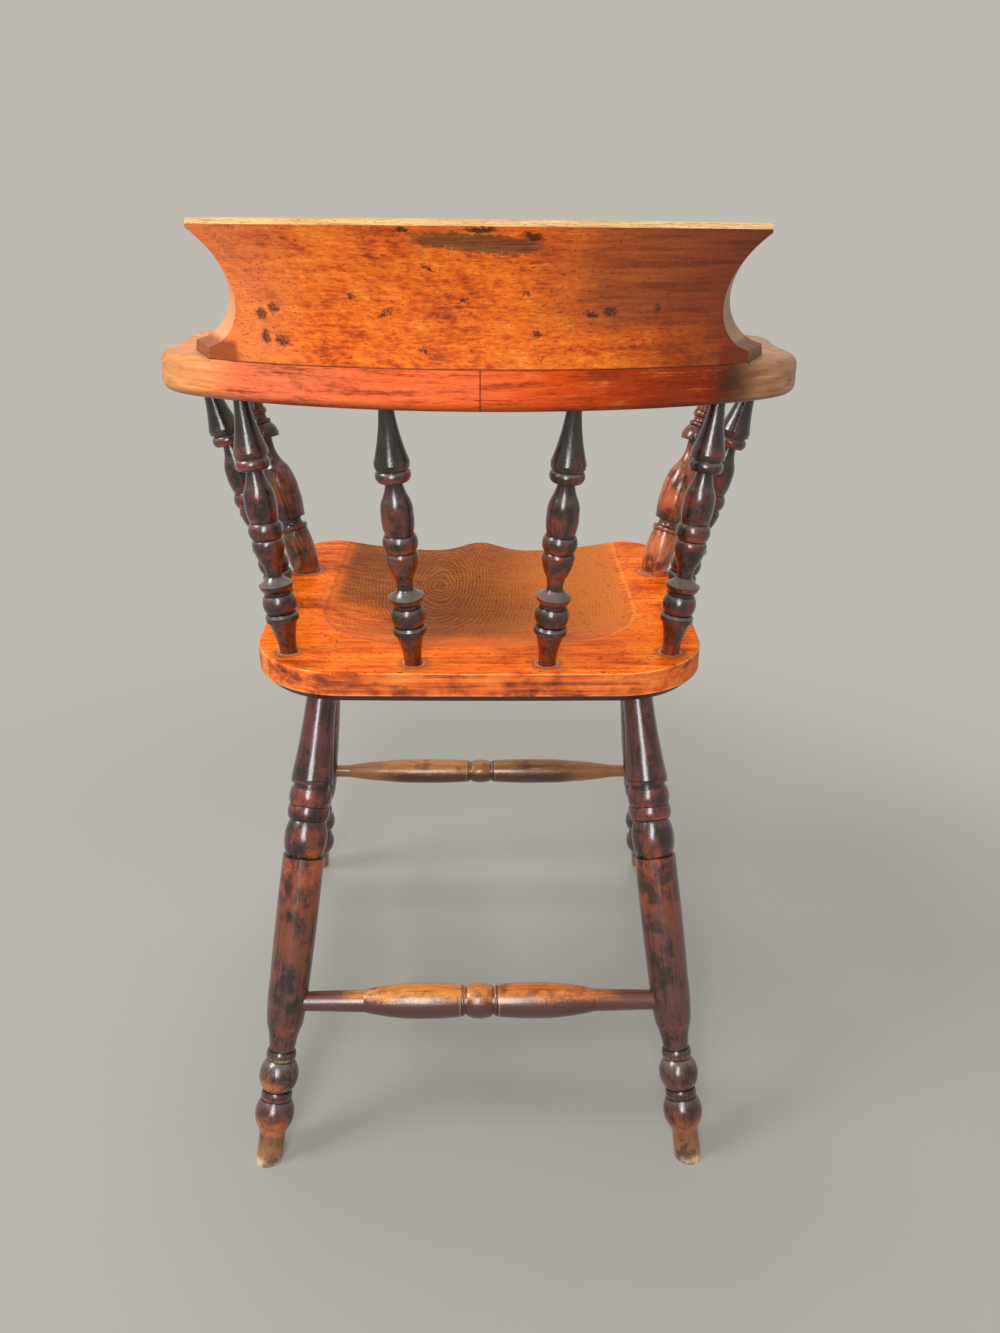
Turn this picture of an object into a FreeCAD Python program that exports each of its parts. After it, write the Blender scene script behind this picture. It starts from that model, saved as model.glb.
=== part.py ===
import FreeCAD, Part
import math
import operator
import os
from types import SimpleNamespace

import Sketcher
from FreeCAD import Placement, Rotation, Vector

# A smoker's bow armchair in turned and sawn wood.
# Frame: +Z up, origin on the floor midway between the feet, front of the chair towards -Y.
# +X is the sitter's left. Lengths are in millimetres and angles in degrees.

SIZES = {
    # Seat plank: placed by the middle of its upper rear edge, the front raised by the tilt
    "seat_height": 451,
    "seat_tilt": 2.1,
    "seat_rear_y": 168.7,
    "seat_thickness": 30,
    "seat_depth": 397,
    "seat_rear_half_width": 202.5,
    "seat_front_half_width": 204,
    "seat_rear_bow": 3,
    "seat_side_bow": 5,
    "seat_front_bow": 3,
    "seat_rear_corner_radius": 86,
    "seat_front_corner_radius": 38,
    "seat_top_round": 2.5,
    "seat_under_bevel": 8,
    # Saddle dish: two thigh hollows that part at a pommel on the front edge
    "dish_half_width": 164,
    "dish_rear_inset": 58,
    "dish_corner_length": 125,
    "dish_depth": 14,
    "pommel_half_width": 30,
    "pommel_length": 210,
    "pommel_drop": 0.5,
    "dish_sheet_margin": 20,
    # Legs: socket places from the seat's rear and front edges, feet on the floor beyond those edges
    "rear_leg_socket_x": 144,
    "rear_leg_socket_inset": 52,
    "front_leg_socket_x": 176,
    "front_leg_socket_setback": 58,
    "rear_foot_x": 196,
    "front_foot_x": 220,
    "rear_foot_reach": 90.3,
    "front_foot_reach": 31,
    "leg_tenon_length": 22,
    # Rails between the legs: heights and how far each tenon stops short of the leg's axis
    "rear_rail_height": 140,
    "front_rail_height": 158.3,
    "side_rail_height": 184,
    "rail_tenon_stop": 5,
    "rail_tenon_length": 14,
    # Bow: the two arms, butted at the back, on an arc about a point in front of the sitter
    "arm_height": 678.5,
    "arm_thickness": 32.5,
    "bow_back_y": 199.6,
    "bow_radius": 400,
    "bow_width": 58,
    "bow_inner_angle": 33,
    "arm_top_round": 9,
    "arm_under_round": 8,
    "elbow_outer_lead": 30,
    "elbow_inner_lead": 25,
    # Spindles and arm posts: base on the seat's top, top on the arm's underside
    "back_base_x": 59.2,
    "back_base_inset": 23.4,
    "back_top_x": 74.7,
    "back_top_y": 173,
    "corner_base_x": 173.3,
    "corner_base_inset": 49.6,
    "corner_top_x": 199,
    "corner_top_y": 124,
    "side_base_x": 192,
    "side_base_inset": 167.6,
    "side_top_x": 252.5,
    "side_top_y": 10.3,
    "post_base_x": 190.5,
    "post_base_inset": 281.5,
    "post_top_x": 250,
    "post_top_y": -133,
    "spindle_seat_tenon": 16,
    "upright_arm_tenon": 17,
    "post_seat_tenon_dia": 18,
    "post_seat_tenon": 16,
    # Crest: its section stands on the bow and rolls back, its ends are coved
    "crest_height": 101.5,
    "crest_overhang": 46,
    "crest_base_width": 42,
    "crest_top_width": 18,
    "crest_top_rise": 4.6,
    "crest_rear_cove": 9,
    "crest_front_roll": 6,
    "crest_waist_x": 187,
    "crest_waist_y": 170,
    "crest_end_angle": 21,
    "crest_tip_angle": 12.5,
    "crest_ear_flare": 17,
    "crest_ear_height": 9.5,
    "crest_shoulder_flare": 9.5,
    "crest_shoulder_height": 14,
    "crest_low_cove_depth": 9.2,
    "crest_low_cove_height": 33,
    "crest_high_cove_flare": 0,
    "crest_high_cove_height": 74,
    "crest_tip_flare": 33,
    "crest_tip_drop": 2.5,
    # Hidden pegs
    "crest_dowel_dia": 9,
    "crest_dowel_length": 34,
    "crest_dowel_inset": 22,
    "crest_dowel_inner_angle": 7,
    "crest_dowel_outer_angle": 23,
    "joint_dowel_dia": 9,
    "joint_dowel_length": 50,
    "joint_dowel_outer_inset": 16,
    "joint_dowel_inner_inset": 43,
    # Room round every tenon and peg, and at the bottom of its socket
    "socket_clearance": 0.15,
    "socket_end_gap": 0.3,
}

# Control points of an arm's outline from elbow to hand and back along the inside, in plan
ARM_OUTLINE = [
    ("elbow_outer", 273.5, 88),
    ("side_outer", 286.5, 36),
    ("waist_outer", 284, -35),
    ("hand_outer", 296, -95),
    ("hand_corner", 298, -148),
    ("hand_tip", 262, -164),
    ("hand_inner_corner", 222, -156),
    ("hand_inner", 208, -108),
    ("waist_inner", 226, -40),
    ("side_inner", 232, 15),
    ("elbow_inner", 226, 50),
]

# Turned elements in order along the axis: name, length, diameters at its two ends, swell of its side.
# The lengths stretch together to the length of the piece. A first diameter of None carries on from the
# element before, and a negative swell is a cove.
TURNINGS = {
    # From the floor up
    "leg": [
        ("foot", 20, 24.5, 24, None),
        ("ankle", 10, None, 27.5, -0.8),
        ("vase", 27, None, 28, 4.2),
        ("foot_ring", 8.5, 27, 27, 0.8),
        ("ankle_ball", 29, 25, 25, 5.6),
        ("collar", 9, 25.5, 25.5, 1),
        ("taper", 25, 23.3, 33, -0.9),
        ("swell", 40, None, 37, 0.8),
        ("shaft", 118, None, 38, 0.5),
        ("ball", 35, 33, 31, 3.7),
        ("lower_ring", 12.5, 36, 36, 1.3),
        ("upper_ring", 16, 35.6, 35.6, 1.5),
        ("groove", 5, 33, 33, None),
        ("lip", 4, 38, 38.6, None),
        ("neck", 90.6, None, 27, -1.5),
    ],
    # From the seat up
    "spindle": [
        ("base", 31.5, 15.2, 26.8, -1.3),
        ("base_ring", 4.5, 29.4, 29.4, None),
        ("base_ring_top", 2.5, None, 26, None),
        ("base_bead", 17.5, 24.4, 24.4, 2.8),
        ("cup_groove", 3, 23, 23.5, None),
        ("cup", 7, None, 30.4, 0.8),
        ("cup_top", 7, None, 14, -0.6),
        ("stem", 11, None, 17, -0.5),
        ("urn", 16.5, None, 27.6, 0.9),
        ("urn_shoulder", 7, None, 25, 0.9),
        ("bead", 15.5, 24.5, 24.5, 2.8),
        ("vase", 18, 23.6, 27.4, 0.9),
        ("vase_shoulder", 14.5, None, 21.5, 1),
        ("vase_neck", 14.5, None, 14, -0.7),
        ("ring", 9, 26, 26, 1.9),
        ("ring_groove", 2.5, 25, 25, None),
        ("lip", 4, 29, 29.8, None),
        ("cone", 44.2, None, 12.4, -1.3),
    ],
    # From the seat up
    "post": [
        ("barrel", 47, 27.3, 28, 2.2),
        ("barrel_rim", 5, 29.5, 29.5, 0.7),
        ("cove", 8, 24, 24, -1.2),
        ("vase_rim", 5, 32.5, 33.5, None),
        ("vase", 23, None, 37, 0.8),
        ("vase_shoulder", 29, None, 27.5, 1.7),
        ("vase_neck", 20, None, 13, -1.6),
        ("cup_neck", 11, None, 14, None),
        ("cup_rim", 3, 31, 32, None),
        ("bell", 13, None, 21, 1.3),
        ("bell_ring", 4, 22, 22, 0.6),
        ("upper_cove", 6, 18, 18, -0.8),
        ("upper_ring", 6, 19.5, 19.5, 0.7),
        ("neck", 47.6, 18, 20, -0.6),
    ],
    # From one end to the middle bead, and then the same backwards
    "rear_rail": [
        ("end", 52.5, 18, 20.5, None),
        ("swell", 47, None, 32.6, 1.2),
        ("bulge", 43, None, 29.5, 0.6),
        ("inner_ring", 3, 27.5, 27.5, 0.5),
        ("groove", 2.5, 25.5, 25.5, None),
        ("bead", 23, 28, 28, 2.2),
    ],
    "rail": [
        ("end", 16.1, 15, 15.6, None),
        ("taper", 50, None, 26.8, 0.9),
        ("swell", 36, None, 30.6, 0.6),
        ("bulge", 64, None, 28, 0.7),
        ("inner_ring", 3, 26, 26, 0.5),
        ("groove", 2.5, 24, 24, None),
        ("bead", 23, 26, 26, 1.9),
    ],
}

LEFT, RIGHT = 1, -1
SIDES = {"left": LEFT, "right": RIGHT}
UP = Vector(0, 0, 1)
# Blanks and cutting blocks reach this far past the chair, and the crest's blank past its ends
BEYOND = 1000
CREST_BLANK_ANGLE = 130
# How far the cut at an end of the crest reaches behind its waist and ahead of it, in bow radii
CREST_CUT_BEHIND = 0.25
CREST_CUT_AHEAD = 0.65
# Points across the sheet that shapes the dish, and as many along it
DISH_POINT_COUNT = 25
# How squarely the dish's rear corners turn, and how flat its bottom runs out before it rises
DISH_CORNER_POWER = 2.6
DISH_SIDE_POWER = 2.5
# How often a rounding or bevel that comes out invalid is worked out again
EDGE_TRY_COUNT = 6
# A cut that should take a good share of a piece is checked to take at least this much of it
LEAST_CUT_SHARE = 0.03


class Size:
    """A number together with the sheet expression that it comes from."""

    def __init__(self, value, text):
        self.value = value
        self.text = text

    def __add__(self, other):
        return combine(self, "+", other)

    def __sub__(self, other):
        return combine(self, "-", other)

    def __mul__(self, other):
        return combine(self, "*", other)

    def __truediv__(self, other):
        return combine(self, "/", other)

    def __neg__(self):
        return combine(0, "-", self)


OPERATIONS = {"+": operator.add, "-": operator.sub, "*": operator.mul, "/": operator.truediv}


def as_size(number):
    return number if isinstance(number, Size) else Size(float(number), str(number))


def combine(left, sign, right):
    left, right = as_size(left), as_size(right)
    return Size(OPERATIONS[sign](left.value, right.value), f"({left.text} {sign} {right.text})")


def root(size):
    return Size(math.sqrt(size.value), f"sqrt({size.text})")


def sine(angle):
    return Size(math.sin(math.radians(angle.value)), f"sin({angle.text} * 1 deg)")


def cosine(angle):
    return Size(math.cos(math.radians(angle.value)), f"cos({angle.text} * 1 deg)")


def total(sizes):
    result = as_size(0)
    for size in sizes:
        result = result + size
    return result


def driving_sizes():
    """Every named size of the chair, the tables' included."""
    sizes = dict(SIZES)
    for point, x, y in ARM_OUTLINE:
        sizes[f"arm_{point}_x"] = x
        sizes[f"arm_{point}_y"] = y
    for turning, elements in TURNINGS.items():
        for element, length, start, end, swell in elements:
            columns = {"length": length, "start_dia": start, "end_dia": end, "swell": swell}
            for column, number in columns.items():
                if number is not None:
                    sizes[f"{turning}_{element}_{column}"] = number
    return sizes


doc = FreeCAD.newDocument("smokers_bow_chair")
sheet = doc.addObject("Spreadsheet::Sheet", "Sizes")
for row, (alias, number) in enumerate(driving_sizes().items(), 1):
    sheet.set(f"A{row}", alias)
    sheet.set(f"B{row}", str(number))
    sheet.setAlias(f"B{row}", alias)
doc.recompute()

NAMED = {alias: Size(float(sheet.get(alias)), f"Sizes.{alias}") for alias in driving_sizes()}
S = SimpleNamespace(**NAMED)
finished = []


def origin_plane(body, role):
    for feature in body.Origin.OriginFeatures:
        if feature.Role == role:
            return feature
    raise LookupError(role)


class Outline:
    """A closed sketch outline, drawn side after side, with every corner at named sizes."""

    def __init__(self, body, name, role, start):
        self.sketch = body.newObject("Sketcher::SketchObject", name)
        self.sketch.AttachmentSupport = [(origin_plane(body, role), "")]
        self.sketch.MapMode = "FlatFace"
        self.here = start
        self.first_vertex = None
        self.last_vertex = None
        self.rules = []

    def rule(self, kind, *where, size=None):
        """Note a constraint, bound to a size if it has one."""
        numbers = where if size is None else (*where, size.value)
        self.rules.append((Sketcher.Constraint(kind, *numbers), size))

    def place(self, vertex, point):
        """Dimension a vertex from the origin. A plain 0 puts it on the axis itself."""
        for kind, axis, size in (("DistanceX", -2, point[0]), ("DistanceY", -1, point[1])):
            if not isinstance(size, Size):
                self.rule("PointOnObject", *vertex, axis)
            elif size.value < 0:
                self.rule(kind, *vertex, -1, 1, size=-size)
            else:
                self.rule(kind, -1, 1, *vertex, size=size)

    def join(self, curve, end, forward=True):
        """Add a side and join it to the one before it. Returns its number and its two vertices."""
        index = self.sketch.addGeometry(curve, False)
        near, far = ((index, 1), (index, 2)) if forward else ((index, 2), (index, 1))
        if self.last_vertex is None:
            self.first_vertex = near
        else:
            self.rule("Coincident", *self.last_vertex, *near)
        self.last_vertex = far
        self.here = end
        return index, near, far

    def line_to(self, x, y):
        _, _, far = self.join(Part.LineSegment(vector(self.here), vector((x, y))), (x, y))
        self.place(far, (x, y))

    def arc_to(self, x, y, radius, bulges_right):
        """An arc of less than half a turn, which bulges to the right of its way or to the left."""
        arc = arc_between(vector(self.here), vector((x, y)), radius.value, bulges_right)
        index, _, far = self.join(arc, (x, y), bulges_right)
        self.place(far, (x, y))
        self.rule("Radius", index, size=radius)

    def swell_to(self, x, y, swell):
        """An arc given by how far its middle stands off its chord: right is positive, left negative."""
        radius = swell_radius(as_size(x) - self.here[0], as_size(y) - self.here[1], swell)
        self.arc_to(x, y, radius, swell.value > 0)

    def spline_to(self, *poles):
        """A smooth cubic curve by its control points. The last is its end."""
        points = [vector(self.here)] + [vector(pole) for pole in poles]
        spans = len(points) - 3
        curve = Part.BSplineCurve()
        repeats = [4] + [1] * (spans - 1) + [4]
        curve.buildFromPolesMultsKnots(points, repeats, list(range(spans + 1)), False, 3)
        index, _, far = self.join(curve, poles[-1])
        self.place(far, poles[-1])
        self.sketch.exposeInternalGeometry(index)
        for number, pole in enumerate(poles[:-1], index + 2):
            self.place((number, 3), pole)

    def turn(self, radius, length, swell=None):
        """The next element of a turned profile: the radius at its far end, its length, its swell."""
        end = (radius, as_size(self.here[1]).value + length.value)
        start, stop = vector(self.here), vector(end)
        if swell is None:
            _, near, far = self.join(Part.LineSegment(start, stop), end)
        else:
            curve_radius = swell_radius(radius - self.here[0], length, swell)
            outward = swell.value > 0
            index, near, far = self.join(arc_between(start, stop, curve_radius.value, outward), end, outward)
            self.rule("Radius", index, size=curve_radius)
        self.rule("DistanceX", -1, 1, *far, size=radius)
        self.rule("DistanceY", *near, *far, size=length)

    def step(self, radius):
        """A square step of a turned profile to another radius, or to the axis with a plain 0."""
        end = (radius, as_size(self.here[1]).value)
        index, _, far = self.join(Part.LineSegment(vector(self.here), vector(end)), end)
        self.rule("Horizontal", index)
        if isinstance(radius, Size):
            self.rule("DistanceX", -1, 1, *far, size=radius)
        else:
            self.rule("PointOnObject", *far, -2)

    def close(self):
        self.rule("Coincident", *self.last_vertex, *self.first_vertex)
        numbers = self.sketch.addConstraint([constraint for constraint, _ in self.rules])
        for number, (_, size) in zip(numbers, self.rules):
            if size is not None:
                self.sketch.setExpression(f"Constraints[{number}]", size.text)
        return self.sketch


def arc_between(start, end, radius, bulges_right):
    """The shorter arc between two points that bulges to the right of its way, or to the left."""
    chord = end - start
    to_centre = math.sqrt(radius ** 2 - chord.Length ** 2 / 4)
    left_of_chord = Vector(-chord.y, chord.x, 0).normalize()
    centre = (start + end) / 2 + left_of_chord * (to_centre if bulges_right else -to_centre)
    low, high = (start, end) if bulges_right else (end, start)
    angles = [math.atan2(point.y - centre.y, point.x - centre.x) for point in (low, high)]
    return Part.ArcOfCircle(Part.Circle(centre, UP, radius), *angles)


def swell_radius(across, along_axis, swell):
    """Radius of an arc from its chord's two parts and how far its middle stands off the chord."""
    depth = swell if swell.value > 0 else -swell
    return (across * across + along_axis * along_axis) / (depth * 8) + depth / 2


def vector(point):
    return Vector(as_size(point[0]).value, as_size(point[1]).value, 0)


def bind(target, name, size):
    target.setExpression(name, size.text)


def along(start, end):
    """A placement at start whose own Z axis points at end."""
    return Placement(start, Rotation(UP, end - start))


def distance(start, end):
    """The bound length between two points given as sizes."""
    steps = [as_size(b) - a for a, b in zip(start, end)]
    return root(total(step * step for step in steps))


def point_of(sizes):
    return Vector(*(as_size(size).value for size in sizes))


def finish(piece, label, placement):
    """Name a finished piece and put it in its place."""
    piece.Label = label
    piece.Placement = placement
    finished.append(piece)
    return piece


def finish_mirrored(piece, label):
    """The right-hand twin of a finished left-hand piece."""
    twin = doc.addObject("Part::Mirroring", label)
    twin.Source = piece
    twin.Normal = Vector(1, 0, 0)
    finish(twin, label, Placement())


def cylinder(name, start, end, radius):
    """A cylinder between two points, for a socket or a peg."""
    tool = doc.addObject("Part::Cylinder", name)
    tool.Height = (end - start).Length
    bind(tool, "Radius", radius)
    tool.Placement = along(start, end)
    return tool


def cut(name, base, tools, placement):
    """Cut tools, which stand in the chair's frame, out of a piece that is still in its own frame."""
    for tool in tools:
        tool.Placement = placement.inverse().multiply(tool.Placement)
    group = doc.addObject("Part::Compound", name + "_tools")
    group.Links = tools
    result = doc.addObject("Part::Cut", name)
    result.Base = base
    result.Tool = group
    return result


def table_sizes(turning):
    """A turning's elements as sizes: length, first and last diameter, swell."""
    rows = []
    for element, _, start, _, swell in TURNINGS[turning]:
        prefix = f"{turning}_{element}"
        rows.append([
            NAMED[prefix + "_length"],
            None if start is None else NAMED[prefix + "_start_dia"],
            NAMED[prefix + "_end_dia"],
            None if swell is None else NAMED[prefix + "_swell"],
        ])
    return rows


def stretched(rows, length):
    """The same elements with their lengths in proportion, so that they add up to a length."""
    stretch = length / total(row[0] for row in rows)
    return [[row[0] * stretch, *row[1:]] for row in rows]


def backwards(rows):
    """The same elements seen from the other end."""
    full = []
    diameter = None
    for length, start, end, swell in rows:
        diameter = start or diameter
        full.append([length, diameter, end, swell])
        diameter = end
    return [[length, end, start, swell] for length, start, end, swell in reversed(full)]


def turned(name, rows, low, high):
    """A turned body along its own Z, plain for a length low below 0 and a length high past the elements."""
    body = doc.addObject("PartDesign::Body", name)
    diameter = rows[0][1]
    outline = Outline(body, name + "_profile", "XZ_Plane", (0, -low))
    outline.line_to(diameter / 2, -low)
    outline.turn(diameter / 2, low)
    for length, start, end, swell in rows:
        if start is not None and start is not diameter:
            outline.step(start / 2)
        outline.turn(end / 2, length, swell)
        diameter = end
    outline.turn(diameter / 2, high)
    outline.step(0)
    outline.line_to(0, -low)
    lathe = body.newObject("PartDesign::Revolution", name + "_turning")
    lathe.Profile = outline.close()
    lathe.ReferenceAxis = (lathe.Profile[0], ["V_Axis"])
    lathe.Angle = 360
    return body


# Places on the seat, which stands tilted

seat_placement = Placement(
    Vector(0, S.seat_rear_y.value, S.seat_height.value),
    Rotation(Vector(1, 0, 0), -S.seat_tilt.value),
)


def on_seat(x, inset, depth=0):
    """A point of the tilted seat: inset from the rear edge, depth below its top face."""
    depth = as_size(depth)
    y = S.seat_rear_y - inset * cosine(S.seat_tilt) - depth * sine(S.seat_tilt)
    z = S.seat_height + inset * sine(S.seat_tilt) - depth * cosine(S.seat_tilt)
    return x, y, z


bow_centre_y = S.bow_back_y - S.bow_radius
bow_inner_radius = S.bow_radius - S.bow_width
bow_placement = Placement(Vector(0, bow_centre_y.value, S.arm_height.value), Rotation())
arm_top = S.arm_height + S.arm_thickness
crest_placement = Placement(Vector(0, bow_centre_y.value, arm_top.value), Rotation())

seat_sockets = []
left_arm_sockets = []
left_leg_sockets = {"leg_rear": [], "leg_front": []}


def socket(name, mouth, inward, depth, dia):
    """A blind hole: from a mouth point it runs inward, and its tool stands out a little before it."""
    way = Vector(inward).normalize()
    lead = dia.value
    end = mouth + way * (depth.value + S.socket_end_gap.value)
    return cylinder(name, mouth - way * lead, end, dia / 2 + S.socket_clearance)


# Legs

rear_foot_y = S.seat_rear_y + S.rear_foot_reach
front_foot_y = S.seat_rear_y - S.seat_depth * cosine(S.seat_tilt) - S.front_foot_reach
front_leg_socket_inset = S.seat_depth - S.front_leg_socket_setback
LEGS = {
    "leg_rear": (S.rear_leg_socket_x, S.rear_leg_socket_inset, S.rear_foot_x, rear_foot_y),
    "leg_front": (S.front_leg_socket_x, front_leg_socket_inset, S.front_foot_x, front_foot_y),
}


def leg_ends(leg, side):
    """A leg's foot on the floor and its top at the seat's underside."""
    socket_x, inset, foot_x, foot_y = LEGS[leg]
    return (foot_x * side, foot_y, as_size(0)), on_seat(socket_x * side, inset, S.seat_thickness)


def leg_axis_at(leg, side, height):
    """Where a leg's axis passes a height."""
    foot, top = leg_ends(leg, side)
    share = height / top[2]
    return foot[0] + (top[0] - foot[0]) * share, foot[1] + (top[1] - foot[1]) * share, height


def make_rail(label, turning, start, end, leg_at_start, leg_at_end):
    """A turned rail between two points of leg axes, with its sockets in the left-hand legs named."""
    half = table_sizes(turning)
    bead = half.pop()
    span = distance(start, end) - (S.rail_tenon_stop + S.rail_tenon_length) * 2
    rows = stretched([*half, bead, *backwards(half)], span)
    body = turned(label + "_body", rows, S.rail_tenon_length, S.rail_tenon_length)
    start_point, end_point = point_of(start), point_of(end)
    way = (end_point - start_point).normalize()
    shoulder = S.rail_tenon_stop.value + S.rail_tenon_length.value
    for leg, axis_point, outward in ((leg_at_start, start_point, way), (leg_at_end, end_point, -way)):
        if leg is not None:
            mouth = axis_point + outward * shoulder
            hole = socket(f"{label}_in_{leg}", mouth, -outward, S.rail_tenon_length, rows[0][1])
            left_leg_sockets[leg].append(hole)
    return finish(body, label, along(start_point + way * shoulder, end_point))


for rail, turning, leg, rail_height in (
    ("stretcher_rear", "rear_rail", "leg_rear", S.rear_rail_height),
    ("stretcher_front", "rail", "leg_front", S.front_rail_height),
):
    crossing = leg_axis_at(leg, LEFT, rail_height)
    make_rail(rail, turning, leg_axis_at(leg, RIGHT, rail_height), crossing, None, leg)
left_rail_ends = [leg_axis_at(leg, LEFT, S.side_rail_height) for leg in ("leg_rear", "leg_front")]
left_rail = make_rail("stretcher_left", "rail", *left_rail_ends, "leg_rear", "leg_front")
finish_mirrored(left_rail, "stretcher_right")


def make_leg(kind):
    """A splayed left-hand leg: its foot is cut level with the floor and its tenon goes up into the seat."""
    label = kind + "_left"
    foot, top = leg_ends(kind, LEFT)
    rows = stretched(table_sizes("leg"), distance(foot, top))
    foot_dia = rows[0][1]
    body = turned(label + "_body", rows, foot_dia / 2, S.leg_tenon_length)
    floor = doc.addObject("Part::Box", label + "_floor")
    floor.Length = floor.Width = floor.Height = BEYOND
    floor.Placement = Placement(Vector(-BEYOND / 2, -BEYOND / 2, -BEYOND), Rotation())
    placement = along(point_of(foot), point_of(top))
    left = finish(cut(label, body, [floor] + left_leg_sockets[kind], placement), label, placement)
    finish_mirrored(left, kind + "_right")
    for side_name, side in SIDES.items():
        low, high = (point_of(end) for end in leg_ends(kind, side))
        hole = socket(f"{kind}_{side_name}_socket", high, high - low, S.leg_tenon_length, rows[-1][2])
        seat_sockets.append(hole)


for leg in LEGS:
    make_leg(leg)

# Spindles and arm posts

UPRIGHTS = {
    "spindle_back": (S.back_base_x, S.back_base_inset, S.back_top_x, S.back_top_y),
    "spindle_corner": (S.corner_base_x, S.corner_base_inset, S.corner_top_x, S.corner_top_y),
    "spindle_side": (S.side_base_x, S.side_base_inset, S.side_top_x, S.side_top_y),
    "arm_post": (S.post_base_x, S.post_base_inset, S.post_top_x, S.post_top_y),
}


def upright_ends(kind, side):
    """Where an upright's axis leaves the seat and where it meets the arm."""
    base_x, base_inset, top_x, top_y = UPRIGHTS[kind]
    return on_seat(base_x * side, base_inset), (top_x * side, top_y, S.arm_height)


def upright_sockets(kind, seat_depth, seat_dia, arm_dia):
    """Blind sockets for both twins in the seat, and for the left one in its arm."""
    for side_name, side in SIDES.items():
        base, top = (point_of(end) for end in upright_ends(kind, side))
        label = f"{kind}_{side_name}"
        seat_sockets.append(socket(label + "_seat_socket", base, base - top, seat_depth, seat_dia))
        if side == LEFT:
            hole = socket(label + "_arm_socket", top, top - base, S.upright_arm_tenon, arm_dia)
            left_arm_sockets.append(hole)


def make_spindle(kind):
    """A left-hand spindle, whose plain ends run into the seat and the arm, and its twin."""
    base, top = upright_ends(kind, LEFT)
    rows = stretched(table_sizes("spindle"), distance(base, top))
    body = turned(kind + "_body", rows, S.spindle_seat_tenon, S.upright_arm_tenon)
    left = finish(body, kind + "_left", along(point_of(base), point_of(top)))
    finish_mirrored(left, kind + "_right")
    upright_sockets(kind, S.spindle_seat_tenon, rows[0][1], rows[-1][2])


def make_post(kind):
    """A left-hand arm post, its base scribed to the tilted seat round a slimmer tenon, and its twin."""
    base, top = upright_ends(kind, LEFT)
    rows = stretched(table_sizes("post"), distance(base, top))
    base_dia = rows[0][1]
    base_point, top_point = point_of(base), point_of(top)
    placement = along(base_point, top_point)
    blank = turned(kind + "_body", rows, base_dia / 2, S.upright_arm_tenon)
    seat_block = doc.addObject("Part::Box", kind + "_seat_block")
    seat_block.Length = seat_block.Width = seat_block.Height = BEYOND
    corner = Placement(Vector(-BEYOND / 2, -BEYOND / 2, -BEYOND), Rotation())
    seat_block.Placement = seat_placement.multiply(corner)
    scribed = cut(kind + "_scribed", blank, [seat_block], placement)
    tenon = doc.addObject("Part::Cylinder", kind + "_tenon")
    bind(tenon, "Radius", S.post_seat_tenon_dia / 2)
    bind(tenon, "Height", S.post_seat_tenon + base_dia)
    tenon.Placement = Placement(Vector(0, 0, -S.post_seat_tenon.value), Rotation())
    post = doc.addObject("Part::Fuse", kind)
    post.Base = scribed
    post.Tool = tenon
    left = finish(post, kind + "_left", placement)
    finish_mirrored(left, kind + "_right")
    upright_sockets(kind, S.post_seat_tenon, S.post_seat_tenon_dia, rows[-1][2])


for upright in UPRIGHTS:
    if upright == "arm_post":
        make_post(upright)
    else:
        make_spindle(upright)


# Pegs that hold the crest on the bow and the two arms together

def pegs(label, ends, dia):
    """A group of pegs, each between two points. Returns a tool for each one's hole."""
    group = doc.addObject("Part::Compound", label)
    group.Links = [cylinder(f"{label}_{n}", start, end, dia / 2) for n, (start, end) in enumerate(ends)]
    finish(group, label, Placement())
    holes = []
    for number, (start, end) in enumerate(ends):
        gap = (end - start).normalize() * S.socket_end_gap.value
        holes.append((number, start - gap, end + gap))
    return [(n, a, b, dia / 2 + S.socket_clearance) for n, a, b in holes]


def bow_point(angle, inset, z):
    """A point at an angle round the bow from its middle, set in from its rear face."""
    turn = math.radians(angle)
    reach = S.bow_radius.value - inset.value
    return Vector(reach * math.sin(turn), bow_centre_y.value + reach * math.cos(turn), z)


crest_peg_ends = []
for peg_angle in (S.crest_dowel_inner_angle, S.crest_dowel_outer_angle):
    for side in SIDES.values():
        foot_point = bow_point(side * peg_angle.value, S.crest_dowel_inset, arm_top.value)
        half_peg = UP * (S.crest_dowel_length.value / 2)
        crest_peg_ends.append((foot_point - half_peg, foot_point + half_peg))
crest_holes = pegs("crest_dowels", crest_peg_ends, S.crest_dowel_dia)

joint_peg_ends = []
for inset in (S.joint_dowel_outer_inset, S.joint_dowel_inner_inset):
    middle = bow_point(0, inset, S.arm_height.value + S.arm_thickness.value / 2)
    half_peg = Vector(S.joint_dowel_length.value / 2, 0, 0)
    joint_peg_ends.append((middle - half_peg, middle + half_peg))
joint_holes = pegs("arm_joint_dowels", joint_peg_ends, S.joint_dowel_dia)


def peg_tools(label, holes):
    """Fresh cutting tools for peg holes."""
    return [cylinder(f"{label}_peg_hole_{number}", *hole) for number, *hole in holes]


# Arms

def edges_at(shape, z, skip_x=None):
    """Names of the edges that lie level at a height, without those in the plane x = skip_x."""
    names = []
    for number, edge in enumerate(shape.Edges, 1):
        box = edge.BoundBox
        level = abs(box.ZMin - z) < 1e-4 and abs(box.ZMax - z) < 1e-4
        skipped = skip_x is not None and abs(box.XMin - skip_x) < 1e-4 and abs(box.XMax - skip_x) < 1e-4
        if level and not skipped:
            names.append(f"Edge{number}")
    return names


def edge_feature(body, kind, name, base, edges, size_name, size):
    feature = body.newObject("PartDesign::" + kind, name)
    feature.Base = (base, edges)
    bind(feature, size_name, size)
    for _ in range(EDGE_TRY_COUNT):
        doc.recompute()
        if "Invalid" not in feature.State:
            break
        feature.touch()
    return feature


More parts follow.
